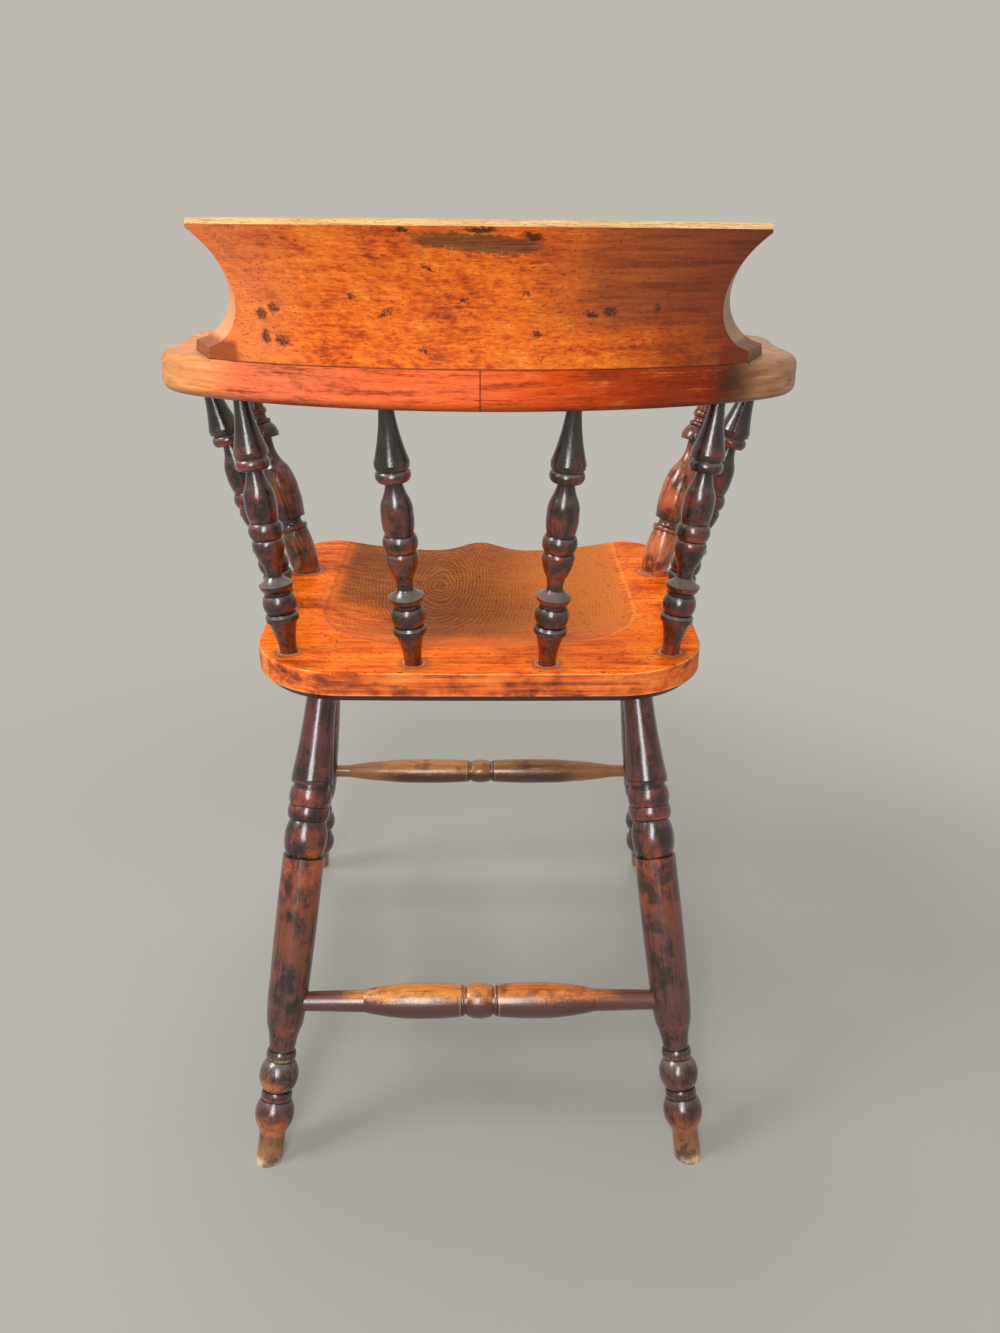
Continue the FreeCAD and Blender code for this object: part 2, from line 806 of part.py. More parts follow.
def crest_end_angle_on_bow():
    """Angle round the bow at which the crest's ear ends, on the rear face."""
    waist = Vector(S.crest_waist_x.value, S.crest_waist_y.value - bow_centre_y.value, 0)
    turn = math.radians(S.crest_end_angle.value)
    ear = waist + Vector(math.cos(turn), math.sin(turn), 0) * S.crest_ear_flare.value
    ahead = Vector(math.sin(turn), -math.cos(turn), 0)
    # The ear's end runs on from there, straight ahead, until it meets the rear face
    reach = ear.dot(ahead)
    step = -reach - math.sqrt(reach ** 2 - ear.Length ** 2 + S.bow_radius.value ** 2)
    step_in = -reach + math.sqrt(reach ** 2 - ear.Length ** 2 + S.bow_radius.value ** 2)
    nearest = min((step, step_in), key=abs)
    meeting = ear + ahead * nearest
    return math.degrees(math.atan2(meeting.x, meeting.y))


ear_angle = Size(crest_end_angle_on_bow(), str(crest_end_angle_on_bow()))


def on_bow(radius, angle, lead=None):
    """A point on an arc of the bow, or on the tangent a lead further round."""
    x, y = radius * sine(angle), radius * cosine(angle)
    if lead is None:
        return x, y
    return x + lead * cosine(angle), y - lead * sine(angle)


def make_arms():
    """The left half of the bow, an arc, an elbow and a flat arm that widens to a hand, and its twin."""
    label = "arm_left"
    body = doc.addObject("PartDesign::Body", label + "_body")
    poles = [on_bow(S.bow_radius, ear_angle, S.elbow_outer_lead)]
    for point, _, _ in ARM_OUTLINE:
        poles.append((NAMED[f"arm_{point}_x"], NAMED[f"arm_{point}_y"] - bow_centre_y))
    poles.append(on_bow(bow_inner_radius, S.bow_inner_angle, S.elbow_inner_lead))
    poles.append(on_bow(bow_inner_radius, S.bow_inner_angle))
    outline = Outline(body, label + "_outline", "XY_Plane", (0, bow_inner_radius))
    outline.line_to(0, S.bow_radius)
    outline.arc_to(*on_bow(S.bow_radius, ear_angle), S.bow_radius, False)
    outline.spline_to(*poles)
    outline.arc_to(0, bow_inner_radius, bow_inner_radius, True)
    plank = body.newObject("PartDesign::Pad", label + "_plank")
    plank.Profile = outline.close()
    bind(plank, "Length", S.arm_thickness)
    doc.recompute()
    low_edges = edges_at(plank.Shape, 0, 0)
    under = edge_feature(body, "Fillet", label + "_under", plank, low_edges, "Radius", S.arm_under_round)
    top_edges = edges_at(under.Shape, S.arm_thickness.value, 0)
    edge_feature(body, "Fillet", label + "_over", under, top_edges, "Radius", S.arm_top_round)
    # The rear edge stays square where the crest stands on it
    inside = S.bow_radius - S.arm_top_round
    below = S.arm_thickness - S.arm_top_round
    strip = Outline(body, label + "_square_edge", "YZ_Plane", (inside, S.arm_thickness))
    strip.line_to(inside, below)
    strip.line_to(S.bow_radius, below)
    strip.line_to(S.bow_radius, S.arm_thickness)
    strip.line_to(inside, S.arm_thickness)
    square = body.newObject("PartDesign::Revolution", label + "_square")
    square.Profile = strip.close()
    square.ReferenceAxis = (square.Profile[0], ["V_Axis"])
    square.Angle = ear_angle.value
    square.Reversed = True
    left_crest_holes = [hole for hole in crest_holes if hole[1].x > 0]
    tools = left_arm_sockets + peg_tools(label + "_joint", joint_holes) + peg_tools(label, left_crest_holes)
    left = finish(cut(label, body, tools, bow_placement), label, bow_placement)
    finish_mirrored(left, "arm_right")


make_arms()


# Crest rail

def check_cut(before, after, what):
    """Stop if a cut took next to nothing, as one that points away from its piece would."""
    if after > before * (1 - LEAST_CUT_SHARE):
        raise RuntimeError(f"{what}: nothing was cut away")


def crest_end_outline(body, label, ahead):
    """What is cut away at the crest's left end, on an upright plane so far ahead of the waist.

    The cut widens to the front, at the end's angle up to the low cove and at the tip's angle above.
    """
    def corner(flare, angle, height):
        return flare / cosine(angle) + ahead * sine(angle) / cosine(angle), height

    above = S.crest_height + S.crest_top_rise * 2
    outside = S.crest_tip_flare + S.bow_radius
    ear = corner(S.crest_ear_flare, S.crest_end_angle, -S.crest_ear_height)
    end = Outline(body, label, "XZ_Plane", ear)
    end.line_to(*corner(S.crest_ear_flare, S.crest_end_angle, S.crest_ear_height))
    end.line_to(*corner(S.crest_shoulder_flare, S.crest_end_angle, S.crest_shoulder_height))
    end.spline_to(
        corner(-S.crest_low_cove_depth, S.crest_end_angle, S.crest_low_cove_height),
        corner(S.crest_high_cove_flare, S.crest_tip_angle, S.crest_high_cove_height),
        corner(S.crest_tip_flare, S.crest_tip_angle, S.crest_height - S.crest_tip_drop),
    )
    end.line_to(*corner(S.crest_tip_flare, S.crest_tip_angle, above))
    end.line_to(outside, above)
    end.line_to(outside, -S.crest_ear_height)
    end.line_to(*ear)
    plane_y = S.crest_waist_y - bow_centre_y - ahead
    end.sketch.AttachmentOffset = Placement(Vector(S.crest_waist_x.value, 0, -plane_y.value), Rotation())
    return end.close()


def make_crest(label):
    """The crest: its rolled section swept round the bow, then both ends cut to a cove with an ear."""
    body = doc.addObject("PartDesign::Body", label + "_body")
    section = Outline(body, label + "_section", "YZ_Plane", (S.bow_radius, 0))
    rear_top = S.bow_radius + S.crest_overhang
    section.swell_to(rear_top, S.crest_height, -S.crest_rear_cove)
    section.line_to(rear_top - S.crest_top_width, S.crest_height + S.crest_top_rise)
    section.swell_to(S.bow_radius - S.crest_base_width, 0, S.crest_front_roll)
    section.line_to(S.bow_radius, 0)
    sweep = body.newObject("PartDesign::Revolution", label + "_sweep")
    sweep.Profile = section.close()
    sweep.ReferenceAxis = (sweep.Profile[0], ["V_Axis"])
    sweep.Midplane = True
    sweep.Angle = CREST_BLANK_ANGLE
    doc.recompute()
    whole = sweep.Shape.Volume

    coved = body.newObject("PartDesign::SubtractiveLoft", label + "_cove")
    coved.Profile = crest_end_outline(body, label + "_end_rear", -S.bow_radius * CREST_CUT_BEHIND)
    coved.Sections = [crest_end_outline(body, label + "_end_front", S.bow_radius * CREST_CUT_AHEAD)]
    coved.Ruled = True
    doc.recompute()
    check_cut(whole, coved.Shape.Volume, label + " end")
    both = body.newObject("PartDesign::Mirrored", label + "_both_ends")
    both.Originals = [coved]
    both.MirrorPlane = (origin_plane(body, "YZ_Plane"), [""])
    body.Tip = both
    doc.recompute()
    finish(cut(label, body, peg_tools(label, crest_holes), crest_placement), label, crest_placement)


make_crest("crest_rail")


# Seat

def dish_height(x, inset):
    """Height of the dished surface over the plank's top face, below it inside the dish."""
    corner_start = S.dish_rear_inset.value + S.dish_corner_length.value
    across = abs(x) / S.dish_half_width.value
    back = max(0, corner_start - inset) / S.dish_corner_length.value
    share = (across ** DISH_CORNER_POWER + back ** DISH_CORNER_POWER) ** (1 / DISH_CORNER_POWER)
    hollow = S.dish_depth.value * (1 - share ** DISH_SIDE_POWER)
    forward = (inset - (S.seat_depth.value - S.pommel_length.value)) / S.pommel_length.value
    rise = min(1, max(0, forward))
    rise = rise * rise * (3 - 2 * rise)
    # The pommel's end lies just below the rounded edge
    peak = S.dish_depth.value - S.seat_top_round.value - S.pommel_drop.value
    return peak * rise * math.exp(-((x / S.pommel_half_width.value) ** 2)) - hollow


def make_dish_tool(name):
    """Everything above the dished surface, as a block to cut away."""
    margin = S.dish_sheet_margin.value
    half = S.seat_rear_half_width.value + margin
    length = S.seat_depth.value + 2 * margin
    last = DISH_POINT_COUNT - 1
    rows = []
    for i in range(DISH_POINT_COUNT):
        x = -half + 2 * half * i / last
        row = []
        for j in range(DISH_POINT_COUNT):
            inset = length * j / last - margin
            row.append(Vector(x, -inset, dish_height(x, inset)))
        rows.append(row)
    surface = Part.BSplineSurface()
    surface.interpolate(rows)
    tool = doc.addObject("Part::Feature", name)
    tool.Shape = surface.toShape().extrude(UP * S.seat_depth.value)
    return tool


def make_seat(label):
    """The plank with rounded corners and a bevelled underside, then dished and bored for its sockets."""
    body = doc.addObject("PartDesign::Body", label + "_body")
    rear = (S.seat_rear_half_width, -S.seat_rear_bow)
    front = (S.seat_front_half_width, -(S.seat_depth - S.seat_front_bow))
    outline = Outline(body, label + "_outline", "XY_Plane", rear)
    outline.swell_to(-rear[0], rear[1], S.seat_rear_bow)
    outline.swell_to(-front[0], front[1], S.seat_side_bow)
    outline.swell_to(*front, S.seat_front_bow)
    outline.swell_to(*rear, S.seat_side_bow)
    plank = body.newObject("PartDesign::Pad", label + "_plank")
    plank.Profile = outline.close()
    bind(plank, "Length", S.seat_thickness)
    plank.Reversed = True
    doc.recompute()

    def upright_edges(shape, y):
        names = []
        for number, edge in enumerate(shape.Edges, 1):
            box = edge.BoundBox
            if box.ZLength > S.seat_thickness.value / 2 and abs(box.YMin - y) < 1:
                names.append(f"Edge{number}")
        return names

    edges = upright_edges(plank.Shape, rear[1].value)
    rear_corners = edge_feature(
        body, "Fillet", label + "_rear_corners", plank, edges, "Radius", S.seat_rear_corner_radius)
    edges = upright_edges(rear_corners.Shape, front[1].value)
    corners = edge_feature(
        body, "Fillet", label + "_front_corners", rear_corners, edges, "Radius", S.seat_front_corner_radius)
    edges = edges_at(corners.Shape, -S.seat_thickness.value)
    bevel = edge_feature(body, "Chamfer", label + "_bevel", corners, edges, "Size", S.seat_under_bevel)
    edges = edges_at(bevel.Shape, 0)
    edge_feature(body, "Fillet", label + "_top_edge", bevel, edges, "Radius", S.seat_top_round)
    dished = doc.addObject("Part::Cut", label + "_dished")
    dished.Base = body
    dished.Tool = make_dish_tool(label + "_dish")
    doc.recompute()
    check_cut(body.Shape.Volume, dished.Shape.Volume, label + " dish")
    finish(cut(label, dished, seat_sockets, seat_placement), label, seat_placement)


make_seat("seat")

doc.recompute()
for item in doc.Objects:
    if "Invalid" in item.State or "Error" in item.State:
        raise RuntimeError(f"{item.Name}: {item.State}")
for piece in finished:
    if piece.Shape.isNull() or not piece.Shape.isValid() or not piece.Shape.Solids:
        raise RuntimeError(f"{piece.Label} has no valid solid")

os.makedirs("parts", exist_ok=True)
for piece in finished:
    piece.Shape.exportStep(f"parts/{piece.Label}.step")
    print(f"{piece.Label}: {len(piece.Shape.Solids)} solid(s), {piece.Shape.Volume / 1000:.1f} cm3")
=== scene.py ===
import math
from collections import namedtuple

import bpy
import numpy as np
from mathutils import Matrix, Vector

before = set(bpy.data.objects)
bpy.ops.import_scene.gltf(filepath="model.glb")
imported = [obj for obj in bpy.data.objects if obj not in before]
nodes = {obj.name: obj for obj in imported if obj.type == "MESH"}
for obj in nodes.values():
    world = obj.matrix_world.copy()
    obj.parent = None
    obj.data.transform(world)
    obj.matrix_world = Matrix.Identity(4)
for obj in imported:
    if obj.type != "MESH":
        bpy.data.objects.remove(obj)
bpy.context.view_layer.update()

# A smoker's bow armchair in old varnished wood, seen from behind and a little above.
# Frame as in the model: metres, +Z up, front of the chair towards -Y, +X the sitter's left.

# Places that the finish follows, all from the model's own sizes
SEAT_REAR_Y = 0.1687
SEAT_TOP_Z = 0.451
SEAT_SLOPE = math.tan(math.radians(2.1))
UNDER_BEVEL_DEPTH = 0.022
BOW_CENTRE_Y = -0.2004
BOW_RADIUS = 0.4
BOW_TOP_Z = 0.711
BOW_UNDER_Z = 0.6785
CREST_TOP_Z = 0.8125
EAR_TOP_Z = 0.724
SPINDLE_FEET = [(0.0592, 0.1453), (0.1733, 0.1191), (0.192, 0.0012)]
SPINDLE_FOOT_RADIUS = 0.0076
POST_FEET = [(0.1905, -0.1126)]
POST_FOOT_RADIUS = 0.0137
SEAT_TENON = 0.016
FOOT_CUT = 0.0044
LEG_LENGTH = 0.45
UPRIGHT_LENGTH = 0.25

# The photograph's camera, with its centre and focal length in pixels of a 1000 by 1333 picture
PICTURE_WIDTH = 1000
PICTURE_HEIGHT = 1333
FOCAL_PIXELS = 1111.1
CENTRE_PIXEL = (505.0, 661.4)
CAMERA_PLACE = (-0.002, 1.0661, 0.8073)
CAMERA_YAW = math.radians(-1.25)
CAMERA_PITCH = math.radians(21.02)
CAMERA_ROLL = math.radians(0.54)
SENSOR = 36
NEAREST_SEEN = 0.05


def linear(level):
    level /= 255
    if level <= 0.04045:
        return level / 12.92
    return ((level + 0.055) / 1.055) ** 2.4


def colour(red, green, blue):
    """A colour written as it looks on a screen, each part from 0 to 255."""
    return (linear(red), linear(green), linear(blue), 1)


BACKGROUND = colour(189, 186, 177)

# How far the noise strays from its mean of a half
NOISE_STRAY = 0.25


class Look:
    """A material under construction, with short ways to add its nodes."""

    def __init__(self, name):
        self.material = bpy.data.materials.new(name)
        self.material.use_nodes = True
        self.tree = self.material.node_tree
        self.surface = self.tree.nodes["Principled BSDF"]
        self.place = self.add("ShaderNodeTexCoord").outputs["Object"]
        self.normal = self.add("ShaderNodeNewGeometry").outputs["Normal"]

    def feed(self, socket, value):
        if isinstance(value, bpy.types.NodeSocket):
            self.tree.links.new(value, socket)
        elif value is not None:
            socket.default_value = value

    def add(self, kind, *values, **settings):
        node = self.tree.nodes.new(kind)
        for name, setting in settings.items():
            setattr(node, name, setting)
        for socket, value in zip(node.inputs, values):
            self.feed(socket, value)
        return node

    def math(self, operation, *values):
        return self.add("ShaderNodeMath", *values, operation=operation).outputs[0]

    def plus(self, first, *others):
        for other in others:
            first = self.math("ADD", first, other)
        return first

    def minus(self, first, second):
        return self.math("SUBTRACT", first, second)

    def times(self, first, *others):
        for other in others:
            first = self.math("MULTIPLY", first, other)
        return first

    def larger(self, first, *others):
        for other in others:
            first = self.math("MAXIMUM", first, other)
        return first

    def size_of(self, value):
        return self.math("ABSOLUTE", value)

    def sum_of(self, *weighted):
        """The sum of values, each given with its weight."""
        return self.plus(*[self.times(value, weight) for value, weight in weighted])

    def vector(self, operation, *values):
        node = self.add("ShaderNodeVectorMath", *values, operation=operation)
        gives_number = operation in ("DOT_PRODUCT", "LENGTH", "DISTANCE")
        return node.outputs["Value" if gives_number else "Vector"]

    def scaled(self, vector, factor):
        node = self.add("ShaderNodeVectorMath", vector, operation="SCALE")
        self.feed(node.inputs["Scale"], factor)
        return node.outputs["Vector"]

    def parts(self, vector):
        return self.add("ShaderNodeSeparateXYZ", vector).outputs

    def joined(self, x, y, z):
        return self.add("ShaderNodeCombineXYZ", x, y, z).outputs[0]

    def step(self, value, low, high, start=0.0, end=1.0):
        """A smooth change from start to end while the value goes from low to high."""
        ends = (low, high, start, end)
        return self.add("ShaderNodeMapRange", value, *ends, interpolation_type="SMOOTHSTEP").outputs[0]

    def band(self, value, middle, half_width):
        """1 at the middle of a band, 0 outside it."""
        return self.step(self.size_of(self.minus(value, middle)), 0.0, half_width, 1.0, 0.0)

    def oval(self, first, second, spot, edge):
        """1 inside an ellipse of two coordinates, 0 outside it. The edge is its softness."""
        first_middle, second_middle, half_length, half_width, slant = spot
        cosine = math.cos(math.radians(slant))
        sine = math.sin(math.radians(slant))
        across = self.minus(first, first_middle)
        upward = self.minus(second, second_middle)
        long_way = self.plus(self.times(across, cosine), self.times(upward, sine))
        short_way = self.minus(self.times(upward, cosine), self.times(across, sine))
        long_share = self.times(long_way, 1 / half_length)
        short_share = self.times(short_way, 1 / half_width)
        from_middle = self.vector("LENGTH", self.joined(long_share, short_share, 0.0))
        return self.step(from_middle, 1 - edge, 1 + edge, 1.0, 0.0)

    def ovals(self, first, second, spots, edge):
        """1 inside any of some ellipses, 0 outside them all."""
        inside = 0.0
        for spot in spots:
            inside = self.larger(inside, self.oval(first, second, spot, edge))
        return inside

    def noise(self, place, scale, detail=3.0, roughness=0.55, distortion=0.0):
        node = self.add("ShaderNodeTexNoise")
        self.feed(node.inputs["Vector"], place)
        node.inputs["Scale"].default_value = scale
        node.inputs["Detail"].default_value = detail
        node.inputs["Roughness"].default_value = roughness
        node.inputs["Distortion"].default_value = distortion
        return node.outputs["Fac"]

    def streaks(self, place, stretch, detail=3.0, roughness=0.55):
        """Noise with its own number of turns a metre along each axis."""
        return self.noise(self.vector("MULTIPLY", place, stretch), 1.0, detail, roughness)

    def wander(self, place, scale, reach):
        """A smooth random shift, up to about the reach either way."""
        shift = self.minus(self.noise(place, scale, detail=4.0, roughness=0.6), 0.5)
        return self.times(shift, reach / NOISE_STRAY)

    def ramp(self, value, stops):
        node = self.add("ShaderNodeValToRGB", value)
        elements = node.color_ramp.elements
        while len(elements) < len(stops):
            elements.new(1.0)
        for element, (position, shade) in zip(elements, stops):
            element.position = position
            element.color = shade
        return node.outputs["Color"]

    def mix(self, share, first, second, blend="MIX"):
        node = self.add("ShaderNodeMix", data_type="RGBA", blend_type=blend)
        colours = [socket for socket in node.inputs if socket.type == "RGBA"]
        self.feed(node.inputs["Factor"], share)
        self.feed(colours[0], first)
        self.feed(colours[1], second)
        return [socket for socket in node.outputs if socket.type == "RGBA"][0]

    def cover(self, shade, paint, *shares):
        """A shade with a paint laid over it, as thickly as the product of the shares."""
        return self.mix(self.times(*shares), shade, paint)

    def finish(self, shade, relief, rough, relief_height, sheen_level, coat, coat_roughness):
        """Colour, relief and gloss of the finished surface."""
        bump = self.add("ShaderNodeBump")
        bump.inputs["Strength"].default_value = 1.0
        bump.inputs["Distance"].default_value = relief_height
        self.feed(bump.inputs["Height"], relief)
        self.feed(self.surface.inputs["Base Color"], shade)
        self.feed(self.surface.inputs["Roughness"], rough)
        self.feed(self.surface.inputs["Normal"], bump.outputs[0])
        self.feed(self.surface.inputs["Coat Normal"], bump.outputs[0])
        self.surface.inputs["Specular IOR Level"].default_value = sheen_level
        self.surface.inputs["Coat Weight"].default_value = coat
        self.surface.inputs["Coat Roughness"].default_value = coat_roughness
        return self.material


# Bow and crest: orange varnish over figured wood, its grain along the bow

BowWood = namedtuple("BowWood", "along up place tone grain fibre cloud")

# Turns a metre along the bow, out from its centre and up
BOW_GRAIN = (16.0, 200.0, 200.0)
BOW_FIBRE = (120.0, 800.0, 800.0)
BOW_CURL = (170.0, 340.0, 340.0)
BOW_CLOUD_SCALE = 26.0
CLOUD_RANGE = (0.3, 0.75)
SEAM_DARK = colour(66, 26, 14)
SEAM_HALF_WIDTH = 0.0011


def bow_wood(look):
    """Places along the bow from its middle and up, and the wood's figure there, its tone round a half."""
    x, y, z = look.parts(look.place)
    ahead = look.minus(y, BOW_CENTRE_Y)
    along = look.times(look.math("ARCTAN2", x, ahead), BOW_RADIUS)
    reach = look.vector("LENGTH", look.joined(x, ahead, 0.0))
    place = look.joined(along, reach, z)
    grain = look.streaks(place, BOW_GRAIN, detail=4.0, roughness=0.6)
    fibre = look.streaks(place, BOW_FIBRE)
    cloud = look.noise(place, BOW_CLOUD_SCALE, detail=5.0, roughness=0.66, distortion=0.4)
    curl = look.streaks(place, BOW_CURL, detail=4.0, roughness=0.65)
    tone = look.sum_of((grain, 0.22), (fibre, 0.2), (cloud, 0.28), (curl, 0.3))
    return BowWood(along, z, place, tone, grain, fibre, cloud)


# Colours of the crest, and where they start and end along the bow or in height
CREST_TONES = (0.31, 0.71)
CREST_VARNISH = [
    (0.0, colour(112, 36, 4)),
    (0.26, colour(186, 72, 8)),
    (0.46, colour(220, 98, 14)),
    (0.7, colour(238, 120, 26)),
    (1.0, colour(250, 158, 66)),
]
FLAME_TURNS_ACROSS = 52.0
FLAME_TURNS_LENGTHWISE = 14.0
FLAME_FADE = (-0.09, 0.02)
FLAME_SHARE = 0.22
PALE_AND_SHEEN_END = (0.11, 0.19)
PALE_PINK_AND_SHEEN = colour(236, 136, 80)
BROWN_END = (-0.015, -0.105)
BROWN_HEIGHT = (0.728, 0.76)
BROWN_GRAIN = [(0.3, colour(112, 46, 18)), (0.75, colour(176, 90, 42))]
RED_AND_SHADED_END = (-0.07, -0.21)
RED_AND_SHADED_GRAIN = [(0.3, colour(86, 30, 8)), (0.75, colour(140, 54, 16))]
CREST_SMUDGE = colour(118, 48, 20)


def crest_figure(look, wood):
    """Orange varnish, with a slanted flame in the middle and on the left."""
    across = look.times(look.minus(wood.along, wood.up), FLAME_TURNS_ACROSS)
    lengthwise = look.times(look.plus(wood.along, wood.up), FLAME_TURNS_LENGTHWISE)
    flame = look.noise(look.joined(across, lengthwise, 0.0), 1.0, detail=3.0, roughness=0.55, distortion=0.6)
    flamed = look.times(look.minus(flame, 0.5), look.step(wood.along, *FLAME_FADE), FLAME_SHARE)
    return look.ramp(look.step(look.plus(wood.tone, flamed), *CREST_TONES), CREST_VARNISH)


def crest_ends(look, wood, shade):
    """Pink and pale towards the left end, partly a painted sheen, dark and red towards the right one, partly
    painted shade, with brown smudges.
    """
    shifted = look.plus(wood.along, look.wander(wood.place, scale=26.0, reach=0.014))
    raised = look.plus(wood.up, look.wander(wood.place, scale=31.0, reach=0.008))
    # Painted sheen in part: the pale pink towards the left end
    shade = look.cover(shade, PALE_PINK_AND_SHEEN, look.step(shifted, *PALE_AND_SHEEN_END), 0.45)
    brown = look.ramp(wood.grain, BROWN_GRAIN)
    shade = look.cover(shade, brown, look.step(shifted, *BROWN_END), look.step(raised, *BROWN_HEIGHT), 0.86)
    # Painted shade in part: the dark red towards the right end
    red = look.ramp(wood.grain, RED_AND_SHADED_GRAIN)
    shade = look.cover(shade, red, look.step(shifted, *RED_AND_SHADED_END), 0.9)
    smudged = look.times(look.step(wood.cloud, 0.56, 0.72), look.step(wood.tone, 0.6, 0.4))
    return look.cover(shade, CREST_SMUDGE, smudged, 0.45)


# Marks on the crest: place along and up, half length and half height, slant in degrees
CREST_DENTS = [
    (0.0690, 0.7520, 0.0062, 0.0022, -32),
    (0.0930, 0.7636, 0.0034, 0.0026, 0),
    (0.0118, 0.7620, 0.0026, 0.0016, 0),
    (-0.0325, 0.7670, 0.0030, 0.0014, 30),
    (0.0350, 0.7840, 0.0050, 0.0011, 40),
    (0.0425, 0.7250, 0.0036, 0.0017, 20),
    (0.1570, 0.7540, 0.0042, 0.0036, 0),
    (0.1690, 0.7490, 0.0040, 0.0046, 0),
    (0.1700, 0.7320, 0.0040, 0.0056, 0),
    (0.1560, 0.7290, 0.0062, 0.0042, 0),
    (-0.0820, 0.7515, 0.0050, 0.0026, 10),
    (-0.0960, 0.7540, 0.0058, 0.0032, 15),
    (-0.1330, 0.7560, 0.0032, 0.0030, 0),
    (-0.0415, 0.7375, 0.0034, 0.0022, 0),
]
CREST_CHIPS = [
    (-0.0340, 0.8056, 0.0062, 0.0026, 8),
    (0.0000, 0.8100, 0.0098, 0.0018, 0),
    (0.0500, 0.8095, 0.0040, 0.0016, 0),
]
CREST_SCAR = (0.002, 0.8012, 0.043, 0.0066, 0)
SCAR_RISE = 0.06
SCAR_GRAIN = (40.0, 700.0, 700.0)
SCAR_WOOD = [(0.3, colour(66, 38, 20)), (0.7, colour(136, 84, 44))]
RED_EDGE_Z = 0.8098
RED_EDGE_HALF_HEIGHT = 0.0024
RED_EDGE_FADE = (0.05, 0.03)
RED_EDGE = colour(206, 84, 32)
DENT_DARK = colour(58, 24, 16)
CHIP_DARK = colour(46, 26, 16)


def crest_marks(look, wood, shade):
    """Dents, the bare scar below the top edge and chips at that edge, on the rear face, and their relief."""
    rear_face = look.step(look.parts(look.normal)[1], 0.0, 0.3)
    ragged_along = look.plus(wood.along, look.wander(wood.place, scale=330.0, reach=0.0026))
    ragged_up = look.plus(wood.up, look.wander(wood.place, scale=370.0, reach=0.0019))
    crumbs = look.noise(wood.place, 480.0, detail=3.0, roughness=0.6)
    dents = look.ovals(ragged_along, ragged_up, CREST_DENTS, edge=0.45)
    dents = look.times(dents, look.step(crumbs, 0.34, 0.52, start=0.35, end=1.0), rear_face)
    shade = look.cover(shade, DENT_DARK, dents, 0.88)
    scar_along = look.plus(wood.along, look.wander(wood.place, scale=90.0, reach=0.006))
    level_up = look.minus(ragged_up, look.times(wood.along, SCAR_RISE))
    scar_up = look.plus(level_up, look.wander(wood.place, scale=80.0, reach=0.0018))
    scar = look.times(look.oval(scar_along, scar_up, CREST_SCAR, edge=0.22), rear_face)
    bare = look.ramp(look.streaks(wood.place, SCAR_GRAIN), SCAR_WOOD)
    shade = look.cover(shade, bare, scar, 0.88)
    red_edge = look.band(ragged_up, RED_EDGE_Z, RED_EDGE_HALF_HEIGHT)
    near_scar = look.step(look.size_of(wood.along), *RED_EDGE_FADE)
    shade = look.cover(shade, RED_EDGE, red_edge, near_scar, rear_face, 0.8)
    chips = look.times(look.ovals(ragged_along, ragged_up, CREST_CHIPS, edge=0.4), rear_face)
    shade = look.cover(shade, CHIP_DARK, chips, 0.9)
    return shade, [(dents, -0.9), (scar, -0.8), (chips, -1.2)]


# Worn edges of the crest, the top edge partly a painted highlight, the left end painted lit and the right
# end painted shade, and its pores, with turns a metre along, out and up
CREST_PORES = (330.0, 640.0, 640.0)
PORE_DARK = colour(84, 30, 8)
TOP_EDGE_FADE = (CREST_TOP_Z - 0.004, CREST_TOP_Z - 0.0005)
TOP_EDGE_GRAIN = (30.0, 420.0, 420.0)
TOP_EDGE_BARE_AND_LIT = [
    (0.32, colour(150, 84, 32)),
    (0.47, colour(206, 158, 92)),
    (0.68, colour(226, 196, 138)),
]
TOP_EDGE_CLOUD = colour(198, 150, 88)
TOP_EDGE_SPECKS = (260.0, 420.0, 420.0)
TOP_EDGE_SPECK_DARK = colour(60, 34, 20)
LEFT_SIDE = (-0.05, 0.05)
RIGHT_END_PAINTED_SHADE = colour(176, 126, 90)
LEFT_END_PAINTED_LIGHT = colour(224, 160, 100)
ABOVE_EAR = (EAR_TOP_Z - 0.0005, EAR_TOP_Z + 0.006)
EAR_START = (0.196, 0.204)
EAR_SHADE = colour(104, 34, 10)


def crest_edges(look, wood, shade):
    """Bare wood on the top edge, partly a painted highlight, and, duller, on the two ends, the left end
    painted lighter as lit and the right end darker as painted shade, with the ears dark below.
    """
    normal_x, _, normal_z = look.parts(look.normal)
    worn = look.ramp(look.streaks(wood.place, TOP_EDGE_GRAIN, detail=4.0, roughness=0.65), TOP_EDGE_BARE_AND_LIT)
    worn = look.cover(worn, TOP_EDGE_CLOUD, look.step(wood.cloud, 0.5, 0.66), 0.6)
    specks = look.step(look.streaks(wood.place, TOP_EDGE_SPECKS, detail=2.0), 0.6, 0.68)
    worn = look.cover(worn, TOP_EDGE_SPECK_DARK, specks, 0.9)
    # Painted highlight in part: pale bare wood on the faces that look up
    top_face = look.step(normal_z, 0.55, 0.85)
    shade = look.cover(shade, worn, top_face, look.step(wood.up, *TOP_EDGE_FADE))
    # Painted light and shade: the left end face lighter, the right one darker
    end_face = look.step(look.size_of(normal_x), 0.62, 0.78)
    end_shade = look.mix(look.step(wood.along, *LEFT_SIDE), RIGHT_END_PAINTED_SHADE, LEFT_END_PAINTED_LIGHT)
    above_ear = look.step(wood.up, *ABOVE_EAR)
    shade = look.cover(shade, end_shade, end_face, above_ear, 0.85)
    ear = look.times(look.minus(1.0, above_ear), look.step(look.size_of(wood.along), *EAR_START))
    return look.cover(shade, EAR_SHADE, ear, 0.75)


